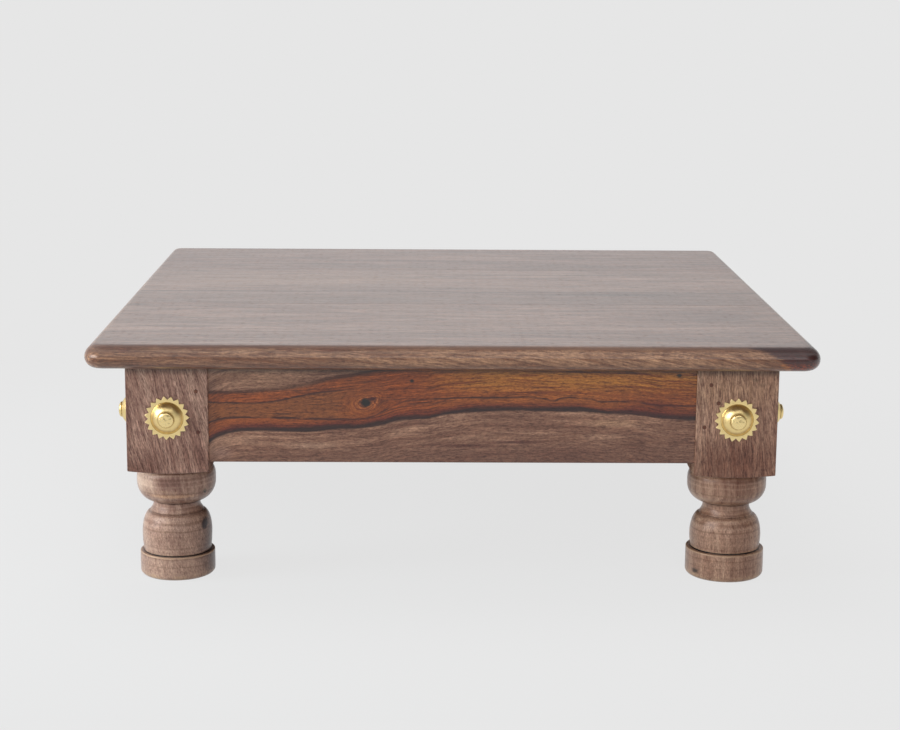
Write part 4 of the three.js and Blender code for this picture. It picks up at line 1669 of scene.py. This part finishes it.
@dataclass
class Sunburst:
    """A stamped brass sunburst: a toothed flange that rises to a dome with a flat seat."""

    tip_turns: ClassVar[dict[str, float]] = {"front_left_end": 6.8, "front_right_end": -2.3}
    lift: float = 0.3
    sheet: float = 0.9
    teeth: int = 19
    tip_radius: float = 18.6
    root_radius: float = 15.6
    dome_radius: float = 13.2
    dome_height: float = 6.0
    seat_radius: float = 7.2
    bore_radius: float = 1.4
    flange_start: float = 0.7
    flange_dent: float = 0.19
    dome_dent: float = 0.16
    dent_scale: float = 0.22
    samples_per_tooth: int = 8
    dome_steps: int = 12
    crease: float = 34.0

    def tooth(self, angle: float) -> float:
        """Gives the toothed outline's radius, with its first tip at the top."""
        share = ((angle - math.pi / 2) * self.teeth / math.tau) % 1.0
        return self.root_radius + (self.tip_radius - self.root_radius) * abs(2 * share - 1)

    def dome(self, shrink: float, base: float) -> list[Pair]:
        """Gives the dome's arc as pairs of radius and height, from its foot to its seat."""
        outer, inner = self.dome_radius - shrink, self.seat_radius - shrink
        drop = (outer ** 2 - inner ** 2 - self.dome_height ** 2) / (2 * self.dome_height)
        ball = math.hypot(outer, drop)
        start, end = (angle / (math.pi / 2) for angle in (
            math.atan2(drop, outer), math.atan2(drop + self.dome_height, inner)))
        return arch((0.0, base - drop), ball, ball, start, end, self.dome_steps)

    def rows(self, back: float, front: float) -> list[tuple]:
        """Gives the radius, height, dent, wear and hollow of each ring, round the section."""
        seat, flange = front + self.dome_height, self.dome_radius + self.flange_start
        rows = [(self.bore_radius, seat, 0.0, 0.0, 1.0),
                (self.seat_radius - 1.0, seat, 0.0, 0.0, 0.9)]
        arc = self.dome(0.0, front)
        for index, (radius, height) in enumerate(reversed(arc)):
            foot = index / len(arc)
            hollow = max(0.0, 1 - index / 2.0) * 0.5 + max(0.0, foot - 0.88) * 6
            rows.append((radius, height, self.dome_dent * math.sin(math.pi * foot), 0.0, hollow))
        rows += [(self.dome_radius + 0.25, front - 0.14, 0.0, 0.0, 1.0),
                 (flange, front - 0.02, 0.06, 0.2, 0.25)]
        for share, drop, edge in ((0.35, 0.0, 0.1), (0.7, 0.02, 0.3), (0.93, 0.05, 0.7),
                                  (1.0, 0.24, 1.0)):
            rows.append((lambda angle, part=share: flange + (self.tooth(angle) - flange) * part,
                         front - drop, self.flange_dent, edge, 0.0))
        return [
            *rows,
            (self.tooth, back + 0.1, 0.0, 0.0, 0.9),
            (lambda angle: self.tooth(angle) - 0.2, back, 0.0, 0.0, 1.0),
            *((radius, height, 0.0, 0.0, 0.6) for radius, height in self.dome(self.sheet, back)),
            (self.bore_radius, seat - self.sheet, 0.0, 0.0, 0.8),
        ]

    def build(self, node: str, finish: bpy.types.Material) -> None:
        """Builds one sunburst for its CAD node."""
        place = node.removeprefix("rosette_")
        angles = even_angles(self.teeth * self.samples_per_tooth, math.pi / 2)
        back = LEG_FACE + self.lift
        seed = float(letter_sum(node) % 97)
        turn = math.radians(self.tip_turns.get(place, seed % 13 - 6))
        loft = Loft()
        for radius, height, dent, edge, hollow in self.rows(back, back + self.sheet):
            ring = circle(radius, height, angles)
            for point in ring:
                point.z += dent * noise.noise(
                    (point.x * self.dent_scale + seed, point.y * self.dent_scale, 3.0))
            loft.add(ring, edge, hollow)
        piece = loft.build(f"sunburst_{place}", outward_frame(node) @ Matrix.Rotation(turn, 4, "Z"),
                           closed=True, crease=self.crease)
        fit_out(piece, finish, node)


@dataclass
class BrassNail:
    """The domed nail through a sunburst."""

    base: float = LEG_FACE + 7.5
    neck: float = 0.25
    head_radius: float = 6.5
    head_height: float = 3.2
    lip: float = 0.5
    shank_radius: float = 1.1
    bite: float = 16.0
    point_length: float = 3.0
    dent_floor: float = 0.3
    sides: int = 48
    head_steps: int = 11
    crease: float = 50.0

    def build(self, node: str, finish: bpy.types.Material) -> None:
        """Builds one nail for its CAD node."""
        angles = even_angles(self.sides)
        seed = float(letter_sum(node) % 89)
        tip, rise = LEG_FACE - self.bite, self.head_height - self.lip
        loft = Loft()
        for radius, height, hollow in (
            (0.15, tip, 0.0), (self.shank_radius, tip + self.point_length, 0.0),
            (self.shank_radius, self.base - self.neck, 1.0),
            (self.head_radius - 0.35, self.base - self.neck, 1.0),
            (self.head_radius - 0.05, self.base, 0.9),
        ):
            loft.add(circle(radius, height, angles), 0.0, hollow)
        for radius, height in arch((0.0, self.base + self.lip), self.head_radius, rise, 0, 0.97,
                                   self.head_steps):
            share = radius / self.head_radius
            full = (height - self.base - self.lip) / rise
            ring = circle(radius, height + rise * (max(full, 0.0) ** 0.75 - full), angles)
            for point in ring:
                broad = noise.noise((point.x * 0.34 + seed, point.y * 0.34, 7.0))
                small = noise.noise((point.x * 0.8, point.y * 0.8 + seed, 2.0))
                depth = 1.3 * broad + 0.2 * small
                point.z += (depth - math.hypot(depth, self.dent_floor)) / 2 * (1 - share ** 4)
            loft.add(ring, 0.25, max(0.0, share - 0.9) * 4)
        piece = loft.build(f"brass_{node}", outward_frame(node), crease=self.crease)
        fit_out(piece, finish, node)


@dataclass
class WoodScrew:
    """A countersunk slotted screw up through a cleat."""

    head_radius: float = 3.6
    head_height: float = 2.4
    shank_radius: float = 1.8
    length: float = 30.0
    point_length: float = 4.0
    thread_pitch: float = 1.6
    thread_depth: float = 0.45
    thread_start: float = 10.0
    tip_radius: float = 0.08
    slot_width: float = 0.9
    slot_length: float = 5.4
    slot_depth: float = 1.0
    sides: int = 24
    crease: float = 30.0

    def shank(self, height: float) -> float:
        """Gives the shank's radius at a height."""
        taper = min(1.0, (self.length - height) / self.point_length)
        radius = self.shank_radius * taper
        if height > self.thread_start:
            wave = 0.5 - 0.5 * math.cos(math.tau * height / self.thread_pitch)
            radius -= self.thread_depth * taper * wave
        return max(radius, self.tip_radius)

    def build(self, node: str, finish: bpy.types.Material) -> None:
        """Builds one screw for its CAD node, with the slot sunk into its head."""
        low, high = (Vector(corner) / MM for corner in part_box(node))
        foot = Vector(((low.x + high.x) / 2, (low.y + high.y) / 2, low.z))
        angles = even_angles(self.sides)
        loft = Loft()
        loft.add(circle(self.head_radius - 0.2, 0.0, angles), 0.6)
        loft.add(circle(self.head_radius, 0.2, angles), 0.3)
        loft.add(circle(self.shank_radius, self.head_height, angles), 0.0, 1.0)
        height = self.head_height
        while height < self.length - 0.01:
            height = min(height + self.thread_pitch / 4, self.length)
            loft.add(circle(self.shank(height), height, angles), 0.0, 0.3)
        piece = loft.build(f"slotted_{node}", Matrix.Translation(foot), crease=self.crease)
        self.sink_slot(piece, foot)
        fit_out(piece, finish, node)

    def sink_slot(self, piece: bpy.types.Object, centre: Vector) -> None:
        """Sinks the driver's slot into the head's flat face.

        Args:
            piece: The screw.
            centre: The middle of its head's face, in millimetres.
        """
        worked = bmesh.new()
        worked.from_mesh(piece.data)
        for half, normal in ((self.slot_width / 2, Vector((1.0, 0.0, 0.0))),
                             (self.slot_length / 2, Vector((0.0, 1.0, 0.0)))):
            for side in (-1, 1):
                flat = [face for face in worked.faces if face.normal.z < -0.99]
                parts = {item for face in flat for item in (face, *face.edges, *face.verts)}
                bmesh.ops.bisect_plane(worked, geom=list(parts), plane_no=normal,
                                       plane_co=(centre + side * normal * half) * MM)
        flat = [face for face in worked.faces if face.normal.z < -0.99]
        slot = min(flat, key=lambda face: (face.calc_center_median() - centre * MM).length)
        sunk = bmesh.ops.extrude_face_region(worked, geom=[slot])["geom"]
        moved = [item for item in sunk if isinstance(item, bmesh.types.BMVert)]
        bmesh.ops.translate(worked, verts=moved, vec=(0.0, 0.0, self.slot_depth * MM))
        bmesh.ops.delete(worked, geom=[slot], context="FACES")
        bmesh.ops.recalc_face_normals(worked, faces=worked.faces)
        worked.to_mesh(piece.data)
        worked.free()
        piece.data.set_sharp_from_angle(angle=math.radians(self.crease))


@dataclass
class Cleats:
    """The battens inside the apron. The CAD nodes stay, with eased edges and their own finish."""

    finishes: dict[Axis, WoodFinish]
    ease: float = 0.7
    sharpest: float = 50.0

    def build(self) -> None:
        """Eases and dresses the four battens."""
        materials = {axis: finish.material() for axis, finish in self.finishes.items()}
        for name, axis, _ in (side.value for side in Side):
            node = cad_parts[f"cleat_{name}"]
            node.data.materials.clear()
            node.data.materials.append(materials[axis])
            bevel = node.modifiers.new("eased_edges", "BEVEL")
            bevel.width = self.ease * MM
            bevel.segments = 2
            bevel.limit_method = "ANGLE"
            bevel.angle_limit = math.radians(self.sharpest)
            LOG.info("cleat_%s: kept and eased", name)


# --------------------------------------------------------------------------------------------
# The studio
# --------------------------------------------------------------------------------------------


def toward(graph: Graph, direction: Socket, place: Triple) -> Socket:
    """Gives how near a direction comes to a place in the sky, up to 1."""
    return graph.vector("DOT_PRODUCT", direction, tuple(Vector(place).normalized()))


def direct_rays(graph: Graph) -> tuple[Socket, Socket]:
    """Tells the rays that look at a thing from those that it lights, and the glossy ones too."""
    rays = graph.node("ShaderNodeLightPath").outputs
    glossy = rays["Is Glossy Ray"]
    return graph.most(rays["Is Camera Ray"], glossy, rays["Is Transmission Ray"]), glossy


@dataclass(frozen=True)
class Lamp:
    """A large soft lamp that looks at the table. The camera and glossy surfaces don't see it."""

    name: str
    direction: Triple
    distance: float
    width: float
    power: float
    tint: Triple = (1.0, 1.0, 1.0)

    def build(self, aim: Triple) -> None:
        """Hangs the lamp, with its distance and width in metres and its power in watts."""
        lamp = bpy.data.lights.new(self.name, "AREA")
        lamp.shape = "DISK"
        lamp.size = self.width
        lamp.energy = self.power
        lamp.color = self.tint
        holder = shown(self.name, lamp)
        away = Vector(self.direction).normalized()
        holder.location = Vector(aim) + away * self.distance
        holder.rotation_mode = "QUATERNION"
        holder.rotation_quaternion = away.to_track_quat("Z", "Y")
        holder.visible_camera = False
        holder.visible_glossy = False


@dataclass(frozen=True)
class Studio:
    """The pale floor, the soft light and the camera."""

    backdrop: Colour = paint(230, 230, 230)
    dark_room: Colour = paint(60, 58, 56)
    floor_paint: float = 0.5
    floor_seen: float = 0.88
    floor_size: float = 160.0
    shadow_share: float = 0.075
    sky_level: float = 0.50
    aim: Triple = (0.0, -0.2, 0.12)
    lamps: tuple[Lamp, ...] = (
        Lamp("window", (-0.97, -0.22, 0.08), 1.3, 0.6, 19.5, (0.87, 1.0, 1.05)),
        Lamp("front_fill", (0.10, -0.96, 0.24), 2.8, 1.8, 31.0),
        Lamp("overhead", (-0.2, 0.3, 0.93), 3.0, 2.0, 34.0),
    )
    glows: tuple[tuple[Triple, float], ...] = (((-0.78, -0.38, 0.50), 7.5),
                                               ((0.16, -0.45, 0.88), 2.0))
    room_direction: Triple = (0.2, -0.9, 0.38)
    room_depth: float = 0.55
    shade_direction: Triple = (0.8, 0.02, 0.6)
    shade_depth: float = 0.9
    ceiling_depth: float = 0.8
    horizon_depth: float = 0.3
    bright_side: float = 1.15
    plain_side: float = 1.08
    dark_side: float = 0.88
    focal_pixels: float = 1971.394
    picture_width: float = 900.0
    sensor_width: float = 36.0
    camera_place: Triple = (-0.028565, -1.861876, 0.503343)
    tilt_down: float = 11.214
    pan_right: float = 0.936
    roll: float = 0.419

    def dark_parts(self, graph: Graph, direction: Socket) -> Feed:
        """Gives how dark the studio is in a direction: its ceiling, corners and horizon."""
        aside, behind, above = graph.split(direction)
        return graph.most(
            graph.times(graph.ramp(above, 0.24, 0.4), graph.ramp(behind, 0.45, 0.7),
                        graph.ramp(aside, -0.5, 0.0, 0.3, 1.0), self.ceiling_depth),
            graph.times(graph.ramp(toward(graph, direction, self.shade_direction), 0.78, 0.94),
                        self.shade_depth),
            graph.times(graph.ramp(toward(graph, direction, self.room_direction), 0.9, 0.975),
                        self.room_depth),
            graph.times(graph.ramp(above, 0.185, 0.13), graph.ramp(behind, 0.8, 0.95),
                        self.horizon_depth),
        )

    def brightness(self, graph: Graph, direction: Socket) -> Feed:
        """Gives how bright the studio is in a direction: brighter at the left and in its glows."""
        aside = graph.split(direction)[0]
        level = graph.times(
            graph.ramp(aside, -0.95, -0.5, self.bright_side / self.plain_side, 1.0),
            graph.ramp(aside, 0.0, 0.3, self.plain_side, self.dark_side))
        for place, bright in self.glows:
            near = toward(graph, direction, place)
            level = graph.add(level, graph.ramp(near, 0.89, 0.975, 0.0, bright - 1.0))
        return level

    def lit_world(self) -> None:
        """Makes a plain sky for diffuse light and a pale studio for reflections and the camera."""
        world = bpy.data.worlds.new("studio")
        bpy.context.scene.world = world
        world.use_nodes = True
        graph = Graph(world.node_tree)
        graph.tree.nodes.clear()
        direct, glossy = direct_rays(graph)
        direction = graph.node("ShaderNodeTexCoord").outputs["Generated"]
        shade = graph.times(self.dark_parts(graph, direction), glossy)
        pale = graph.put("ShaderNodeBackground", {
            "Color": graph.lay(self.backdrop, self.dark_room, shade),
            "Strength": graph.between(glossy, 1.0, self.brightness(graph, direction))})
        sky = graph.put("ShaderNodeBackground", {
            "Color": (1.0, 1.0, 1.0, 1.0), "Strength": self.sky_level})
        graph.feed(graph.node("ShaderNodeOutputWorld").inputs["Surface"],
                   graph.mixed(direct, sky, pale))

    def floor(self) -> None:
        """Lays the floor, which takes the backdrop's colour and keeps a soft shadow."""
        half = self.floor_size / 2
        corners = [(-half, -half, 0.0), (half, -half, 0.0), (half, half, 0.0), (-half, half, 0.0)]
        mesh = bpy.data.meshes.new("floor")
        mesh.from_pydata(corners, [], [(0, 1, 2, 3)])
        piece = shown("floor", mesh)
        material = bpy.data.materials.new("pale_floor")
        material.use_nodes = True
        graph = Graph(material.node_tree)
        graph.tree.nodes.clear()
        direct, _ = direct_rays(graph)
        matt = graph.put("ShaderNodeBsdfDiffuse", {
            "Color": graph.between(direct, self.floor_paint, self.floor_seen)})
        pale = graph.put("ShaderNodeEmission", {"Color": self.backdrop})
        away = graph.length(graph.node("ShaderNodeTexCoord").outputs["Object"])
        shadow = graph.ramp(away, 0.5, 0.9, self.shadow_share, 0.0)
        seen = graph.mixed(graph.times(direct, graph.less(1.0, shadow)), matt, pale)
        below = graph.node("ShaderNodeNewGeometry").outputs["Backfacing"]
        clear = graph.node("ShaderNodeBsdfTransparent").outputs[0]
        graph.feed(graph.node("ShaderNodeOutputMaterial").inputs["Surface"],
                   graph.mixed(below, seen, clear))
        mesh.materials.append(material)

    def camera(self) -> None:
        """Sets the camera where the photograph was taken from."""
        tilt, pan, roll = (math.radians(turn)
                           for turn in (self.tilt_down, self.pan_right, self.roll))
        ahead = Vector((math.sin(pan) * math.cos(tilt), math.cos(pan) * math.cos(tilt),
                        -math.sin(tilt)))
        level = Vector((math.cos(pan), -math.sin(pan), 0.0))
        rise = Vector((math.sin(pan) * math.sin(tilt), math.cos(pan) * math.sin(tilt),
                       math.cos(tilt)))
        right = math.cos(roll) * level + math.sin(roll) * rise
        up = math.cos(roll) * rise - math.sin(roll) * level
        data = bpy.data.cameras.new("camera")
        data.sensor_width = self.sensor_width
        data.lens = self.focal_pixels / self.picture_width * self.sensor_width
        data.clip_start, data.clip_end = 0.05, 400.0
        turn = Matrix((right, up, -ahead)).transposed().to_4x4()
        holder = shown("camera", data)
        holder.matrix_world = Matrix.Translation(self.camera_place) @ turn
        bpy.context.scene.camera = holder

    def build(self) -> None:
        """Sets up the whole studio."""
        bpy.context.scene.view_settings.view_transform = "Standard"
        self.lit_world()
        for lamp in self.lamps:
            lamp.build(self.aim)
        self.floor()
        self.camera()


# --------------------------------------------------------------------------------------------
# This table's own finishes
# --------------------------------------------------------------------------------------------


def board_finishes() -> dict[str, WoodFinish]:
    """Gives the finishes of the three boards of the top."""
    shared = {
        "grain": Axis.X, "stretch": 22.0, "streak_width": 8.0, "fibre_width": 0.95,
        "fibre_share": 1.4, "ripple_share": 0.22, "streak_share": 0.36, "patch_share": 0.6,
        "band_share": 0.4, "ring_spacing": 9.0, "ring_wobble": 5.0, "pore_depth": 0.15,
        "roughness": 0.36, "coat": 0.69, "coat_roughness": 0.15, "worn": wood(158, 124, 104),
    }
    return {
        "front": BoardFinish(
            "board_front_sheesham", body=wood(134, 104, 86), deep=wood(106, 80, 68),
            pale=wood(164, 132, 110), start=(31.0, 7.0, 3.0), pith=(-120.0, 60.0),
            heart_corner=238.0, face_sheen_tint=(1.0, 1.03, 1.25, 1.0), spots=spots(
                (54.8, -202.8, 206, 7, 1.3, 9, 0.9, 0.8),
                (-283, -82, 206, 16, 5, 9, 0.7, 0.9),
                (-300, -300, 199, 34, 30, 12, 0.12, 1.0, 104, 78, 68),
                (-172, -300, 203.5, 24, 14, 2.6, 0.6, 0.8, 176, 140, 112),
                (-190, -300, 196.5, 110, 20, 6.5, 0.32, 1.0, 104, 72, 58),
            ), **shared),
        "middle": BoardFinish(
            "board_middle_sheesham", body=wood(143, 114, 98), deep=wood(112, 88, 78),
            pale=wood(164, 134, 117), start=(-71.0, 43.0, 12.0), pith=(-20.0, 40.0),
            dark_strip=(-75.0, -3.0), spots=spots(
                (165, -17, 206, 120, 12, 9, 0.75, 0.9, 84, 64, 58),
                (-130, 72, 206, 190, 62, 9, 0.35, 1.0, 162, 132, 114),
            ), **shared),
        "back": BoardFinish(
            "board_back_sheesham", body=wood(130, 101, 88), deep=wood(100, 77, 69),
            pale=wood(156, 126, 110), start=(143.0, -31.0, 27.0), pith=(260.0, 30.0), **shared),
    }


def leg_finish(corner: Corner, turning: Turning) -> WoodFinish:
    """Gives the finish of the leg at a corner, from the leg's own sizes."""
    name, side_x, side_y = corner.value
    shared = {
        "name": f"leg_{name}_sheesham", "grain": Axis.Z, "stretch": 24.0, "streak_width": 4.2,
        "streak_share": 0.7, "worn": wood(172, 144, 120), "fibre_width": 0.85,
        "fibre_share": 1.85, "fleck_share": 0.4, "speckle_share": 0.7, "specular": 0.2,
        "coat": 0.5, "coat_roughness": 0.3, "under_top": 0.5, "ring_spacing": 6.5,
        "ring_wobble": 2.4, "roughness": 0.38, "block_bottom": turning.block_bottom,
    }
    if corner is Corner.FRONT_LEFT:
        return TurnedFinish(
            body=wood(143, 115, 103), deep=wood(112, 86, 78), pale=wood(168, 142, 126),
            lean=13.0, start=(17.0, 3.0, 9.0), pith=(-160.0, -236.0), spots=spots(
                (-208.8, -246, 46, 2.6, 22, 5, 1.0, 0.4),
                # Painted shade on the turned part's inward side.
                (-200, -240, 30, 20, 40, 56, 0.85, 0.9, 70, 50, 43),
                (-266, -270, 98, 26, 9, 14, 0.65, 1.0, 86, 60, 56),
                (-236, -270, 108, 60, 9, 18, 0.3, 1.0, 92, 66, 60),
                (-262, -256, 11, 1.3, 9, 1, 0.9, 0.5),
                (-207.5, -252, 76, 1.4, 20, 2.4, 0.8, 0.5),
                # Painted dark reflection on the bulb's upper middle.
                (-238, -270, 85, 22, 9, 8, 0.7, 1.0, 86, 64, 61),
                (-246, -268, 34, 34, 12, 12, 0.4, 1.0, 104, 74, 66),
                # Painted highlight on the bulb's left side.
                (-262, -256, 84, 20, 22, 13, 0.5, 1.0, 204, 178, 158),
                # Painted shade that dims the bell's upper left.
                (-256, -258, 48, 18, 18, 14, 0.4, 1.0, 124, 94, 84),
                (-236, -268, 73.5, 36, 14, 2.4, 0.5, 0.9, 196, 158, 126),
                (-270, -270, 142, 5, 9, 64, 0.6, 0.9, 84, 58, 54),
            ), **shared)
    if corner is Corner.FRONT_RIGHT:
        return TurnedFinish(
            low_light_share=0.15, body=wood(149, 119, 103), deep=wood(112, 84, 74),
            pale=wood(168, 140, 121), lean=3.0, start=(-47.0, 21.0, 5.0), pith=(330.0, -200.0),
            spots=spots(
                (207, -256, 7, 3.6, 12, 3.2, 0.85, 0.8),
                (250, -270, 176, 4.2, 12, 2, 0.5, 0.8),
                (256, -270, 172, 6, 12, 1.8, 0.35, 0.9),
                (236, -270, 104, 70, 9, 36, 0.68, 1.0, 94, 64, 57),
                # Painted light that lifts the upper block out of the shade below the top.
                (232, -270, 168, 60, 9, 26, 0.4, 1.0, 166, 136, 110),
            ), **shared)
    return TurnedFinish(
        body=wood(132, 104, 90), deep=wood(103, 78, 68), pale=wood(160, 130, 113),
        lean=4.0 * side_x * side_y, start=(83.0 * side_x, 37.0, 11.0 * side_y),
        pith=(side_x * 150.0, side_y * 190.0), **shared)


FRONT_FLAME = HeartFigure(
    upper=((0.0, 0.722), (0.056, 0.722), (0.122, 0.746), (0.187, 0.794), (0.22, 0.826),
           (0.253, 0.866), (0.286, 0.893), (0.33, 0.93), (0.4, 0.97), (0.5, 1.0), (1.0, 1.0)),
    lower=((0.0, 0.2), (0.024, 0.268), (0.056, 0.312), (0.089, 0.319), (0.155, 0.316),
           (0.22, 0.32), (0.253, 0.338), (0.318, 0.356), (0.351, 0.382), (0.384, 0.425),
           (0.417, 0.448), (0.449, 0.458), (0.482, 0.488), (0.527, 0.51), (0.559, 0.524),
           (0.625, 0.534), (0.69, 0.53), (0.756, 0.528), (0.789, 0.518), (0.821, 0.504),
           (0.854, 0.505), (0.887, 0.491), (0.92, 0.466), (0.952, 0.449), (1.0, 0.442)),
    thread=((0.0, 0.4), (0.04, 0.449), (0.089, 0.456), (0.155, 0.452), (0.22, 0.446),
            (0.269, 0.436), (0.318, 0.445), (0.335, 0.467), (0.351, 0.505), (0.367, 0.547),
            (0.384, 0.587), (0.403, 0.624), (0.449, 0.643), (0.504, 0.659), (0.559, 0.662),
            (0.609, 0.664), (0.658, 0.668), (0.69, 0.652), (0.707, 0.634), (0.723, 0.664),
            (0.756, 0.667), (0.789, 0.647), (0.805, 0.624), (0.838, 0.631), (0.871, 0.629),
            (0.903, 0.607), (0.936, 0.588), (1.0, 0.585)),
    core_top=((0.0, 0.603), (0.089, 0.602), (0.138, 0.622), (0.187, 0.672), (0.22, 0.7),
              (0.253, 0.722), (0.4, 0.78), (1.0, 0.8)),
    knot=(0.3215, 0.606),
)

BACK_FLAME = HeartFigure(
    upper=((0.0, 0.62), (0.2, 0.58), (0.45, 0.66), (0.7, 0.83), (0.85, 0.95), (1.0, 1.0)),
    lower=((0.0, 0.36), (0.2, 0.27), (0.5, 0.3), (0.8, 0.42), (1.0, 0.5)),
    thread=((0.0, 0.44), (0.4, 0.38), (1.0, 0.58)),
    core_top=((0.0, 0.52), (0.4, 0.5), (1.0, 0.7)),
    core_end=0.5,
)

LEFT_FLAME = HeartFigure(
    upper=((0.0, 0.44), (0.3, 0.4), (0.6, 0.36), (0.85, 0.24), (1.0, 0.12)),
    lower=((0.0, 0.12), (0.3, 0.1), (0.6, 0.1), (1.0, 0.04)),
    thread=((0.0, 0.24), (1.0, 0.1)),
    core_top=((0.0, 0.34), (1.0, 0.14)),
    core_end=0.6,
)

RIGHT_FLAME = HeartFigure(
    upper=((0.0, 0.86), (0.3, 0.92), (0.6, 0.9), (1.0, 0.8)),
    lower=((0.0, 0.66), (0.25, 0.62), (0.6, 0.7), (1.0, 0.74)),
    thread=((0.0, 0.72), (1.0, 0.77)),
    core_top=((0.0, 0.78), (1.0, 0.79)),
    core_end=0.4,
)

FRONT_RAIL_SPOTS = spots(
    (134, -267, 138.5, 30, 12, 4.5, 0.62, 1.0, 160, 128, 104),
    (124, -267, 126.5, 24, 12, 4, 0.6, 1.0, 158, 126, 106),
    (152, -267, 120, 16, 12, 5, 0.5, 1.0, 86, 62, 56),
    (-118, -267, 118.5, 26, 12, 4, 0.45, 1.0, 156, 128, 110),
    (-192, -267, 112, 12, 12, 7, 0.4, 1.0, 150, 122, 110),
    (170, -267, 153, 50, 12, 13, 0.55, 1.0, 88, 54, 46),
    (-158, -267, 174, 60, 12, 12, 0.35, 1.0, 156, 124, 102),
    (10, -267, 118.6, 38, 12, 1.7, 0.75, 0.9, 80, 57, 53),
    (52, -267, 121.8, 32, 12, 1.7, 0.75, 0.9, 78, 55, 51),
    (60, -267, 112, 150, 12, 14, 0.3, 1.0, 90, 66, 62),
    (-34.1, -267, 173.6, 2.4, 9, 1.7, 0.95, 0.5),
    (187.4, -267, 179, 2.4, 9, 1.9, 0.95, 0.5),
)


def rail_finishes() -> dict[Side, WoodFinish]:
    """Gives the finishes of the four rails."""
    rows = (
        (Side.FRONT, FRONT_FLAME, (5.0, 11.0, 2.0), (-267.0, 420.0), FRONT_RAIL_SPOTS),
        (Side.BACK, BACK_FLAME, (77.0, -13.0, 31.0), (300.0, -60.0), ()),
        (Side.LEFT, LEFT_FLAME, (-52.0, 19.0, 44.0), (-300.0, 330.0), ()),
        (Side.RIGHT, RIGHT_FLAME, (121.0, 29.0, -8.0), (300.0, -120.0), ()),
    )
    return {
        side: RailFinish(
            name=f"rail_{side.value[0]}_sheesham", grain=side.value[1], flame=flame, start=start,
            pith=pith, spots=own_spots, stretch=20.0, streak_width=4.2, fibre_width=0.9,
            fibre_share=1.3, speckle_share=0.85, streak_share=0.75, patch_share=0.6,
            under_top=0.65, ring_spacing=6.0, ring_wobble=4.0, roughness=0.36,
            body=wood(130, 99, 84), deep=wood(104, 78, 69), pale=wood(154, 122, 103))
        for side, flame, start, pith, own_spots in rows
    }


def cleat_finishes() -> dict[Axis, WoodFinish]:
    """Gives the plain finishes of the battens along either direction."""
    return {
        axis: WoodFinish(
            f"cleat_{axis.name.lower()}_wood", grain=axis, start=start, body=wood(150, 120, 96),
            deep=wood(124, 96, 76), pale=wood(176, 146, 118), stretch=24.0, roughness=0.6,
            ring_spacing=4.0, coat=0.0)
        for axis, start in ((Axis.X, (9.0, 5.0, 1.0)), (Axis.Y, (60.0, 25.0, 7.0)))
    }


PEG_WOOD = WoodFinish(
    "peg_sheesham", grain=Axis.X, body=wood(100, 70, 60), deep=wood(80, 54, 47),
    pale=wood(118, 86, 74), stretch=1.5, streak_width=1.2, fibre_width=0.5, coat=0.0)
NAIL_BRASS = MetalFinish("nail_brass", aged=paint(116, 100, 54), roughness=0.26,
                         tarnish_share=0.5, dent_depth=0.12)
SCREW_STEEL = MetalFinish(
    "screw_steel", clean=paint(168, 166, 160), aged=paint(96, 84, 72), roughness=0.38,
    roughness_swing=0.16, tarnish_share=1.0, tarnish_roughness=0.0, bright_share=0.0,
    relief_share=0.4, dent_depth=0.1)


def main() -> None:
    """Builds the studio and every piece of the table, in order."""
    logging.basicConfig(level=logging.INFO, format="%(name)s %(message)s")
    Studio().build()
    BoardTop(board_finishes()).build()
    for corner, turning in zip(Corner, (SLIM, STOUT, STOUT, SLIM)):
        Leg(corner, turning, leg_finish(corner, turning)).build()
    for side, finish in rail_finishes().items():
        Rail(side, finish).build()
    peg_wood, brass, nail_brass, steel = (
        finish.material() for finish in (PEG_WOOD, MetalFinish(), NAIL_BRASS, SCREW_STEEL))
    for prefix, maker, finish in (("peg_", Peg(), peg_wood), ("rosette_", Sunburst(), brass),
                                  ("nail_", BrassNail(), nail_brass),
                                  ("screw_", WoodScrew(), steel)):
        for node in sorted(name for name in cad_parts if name.startswith(prefix)):
            maker.build(node, finish)
    Cleats(cleat_finishes()).build()


if __name__ == "__main__":
    main()
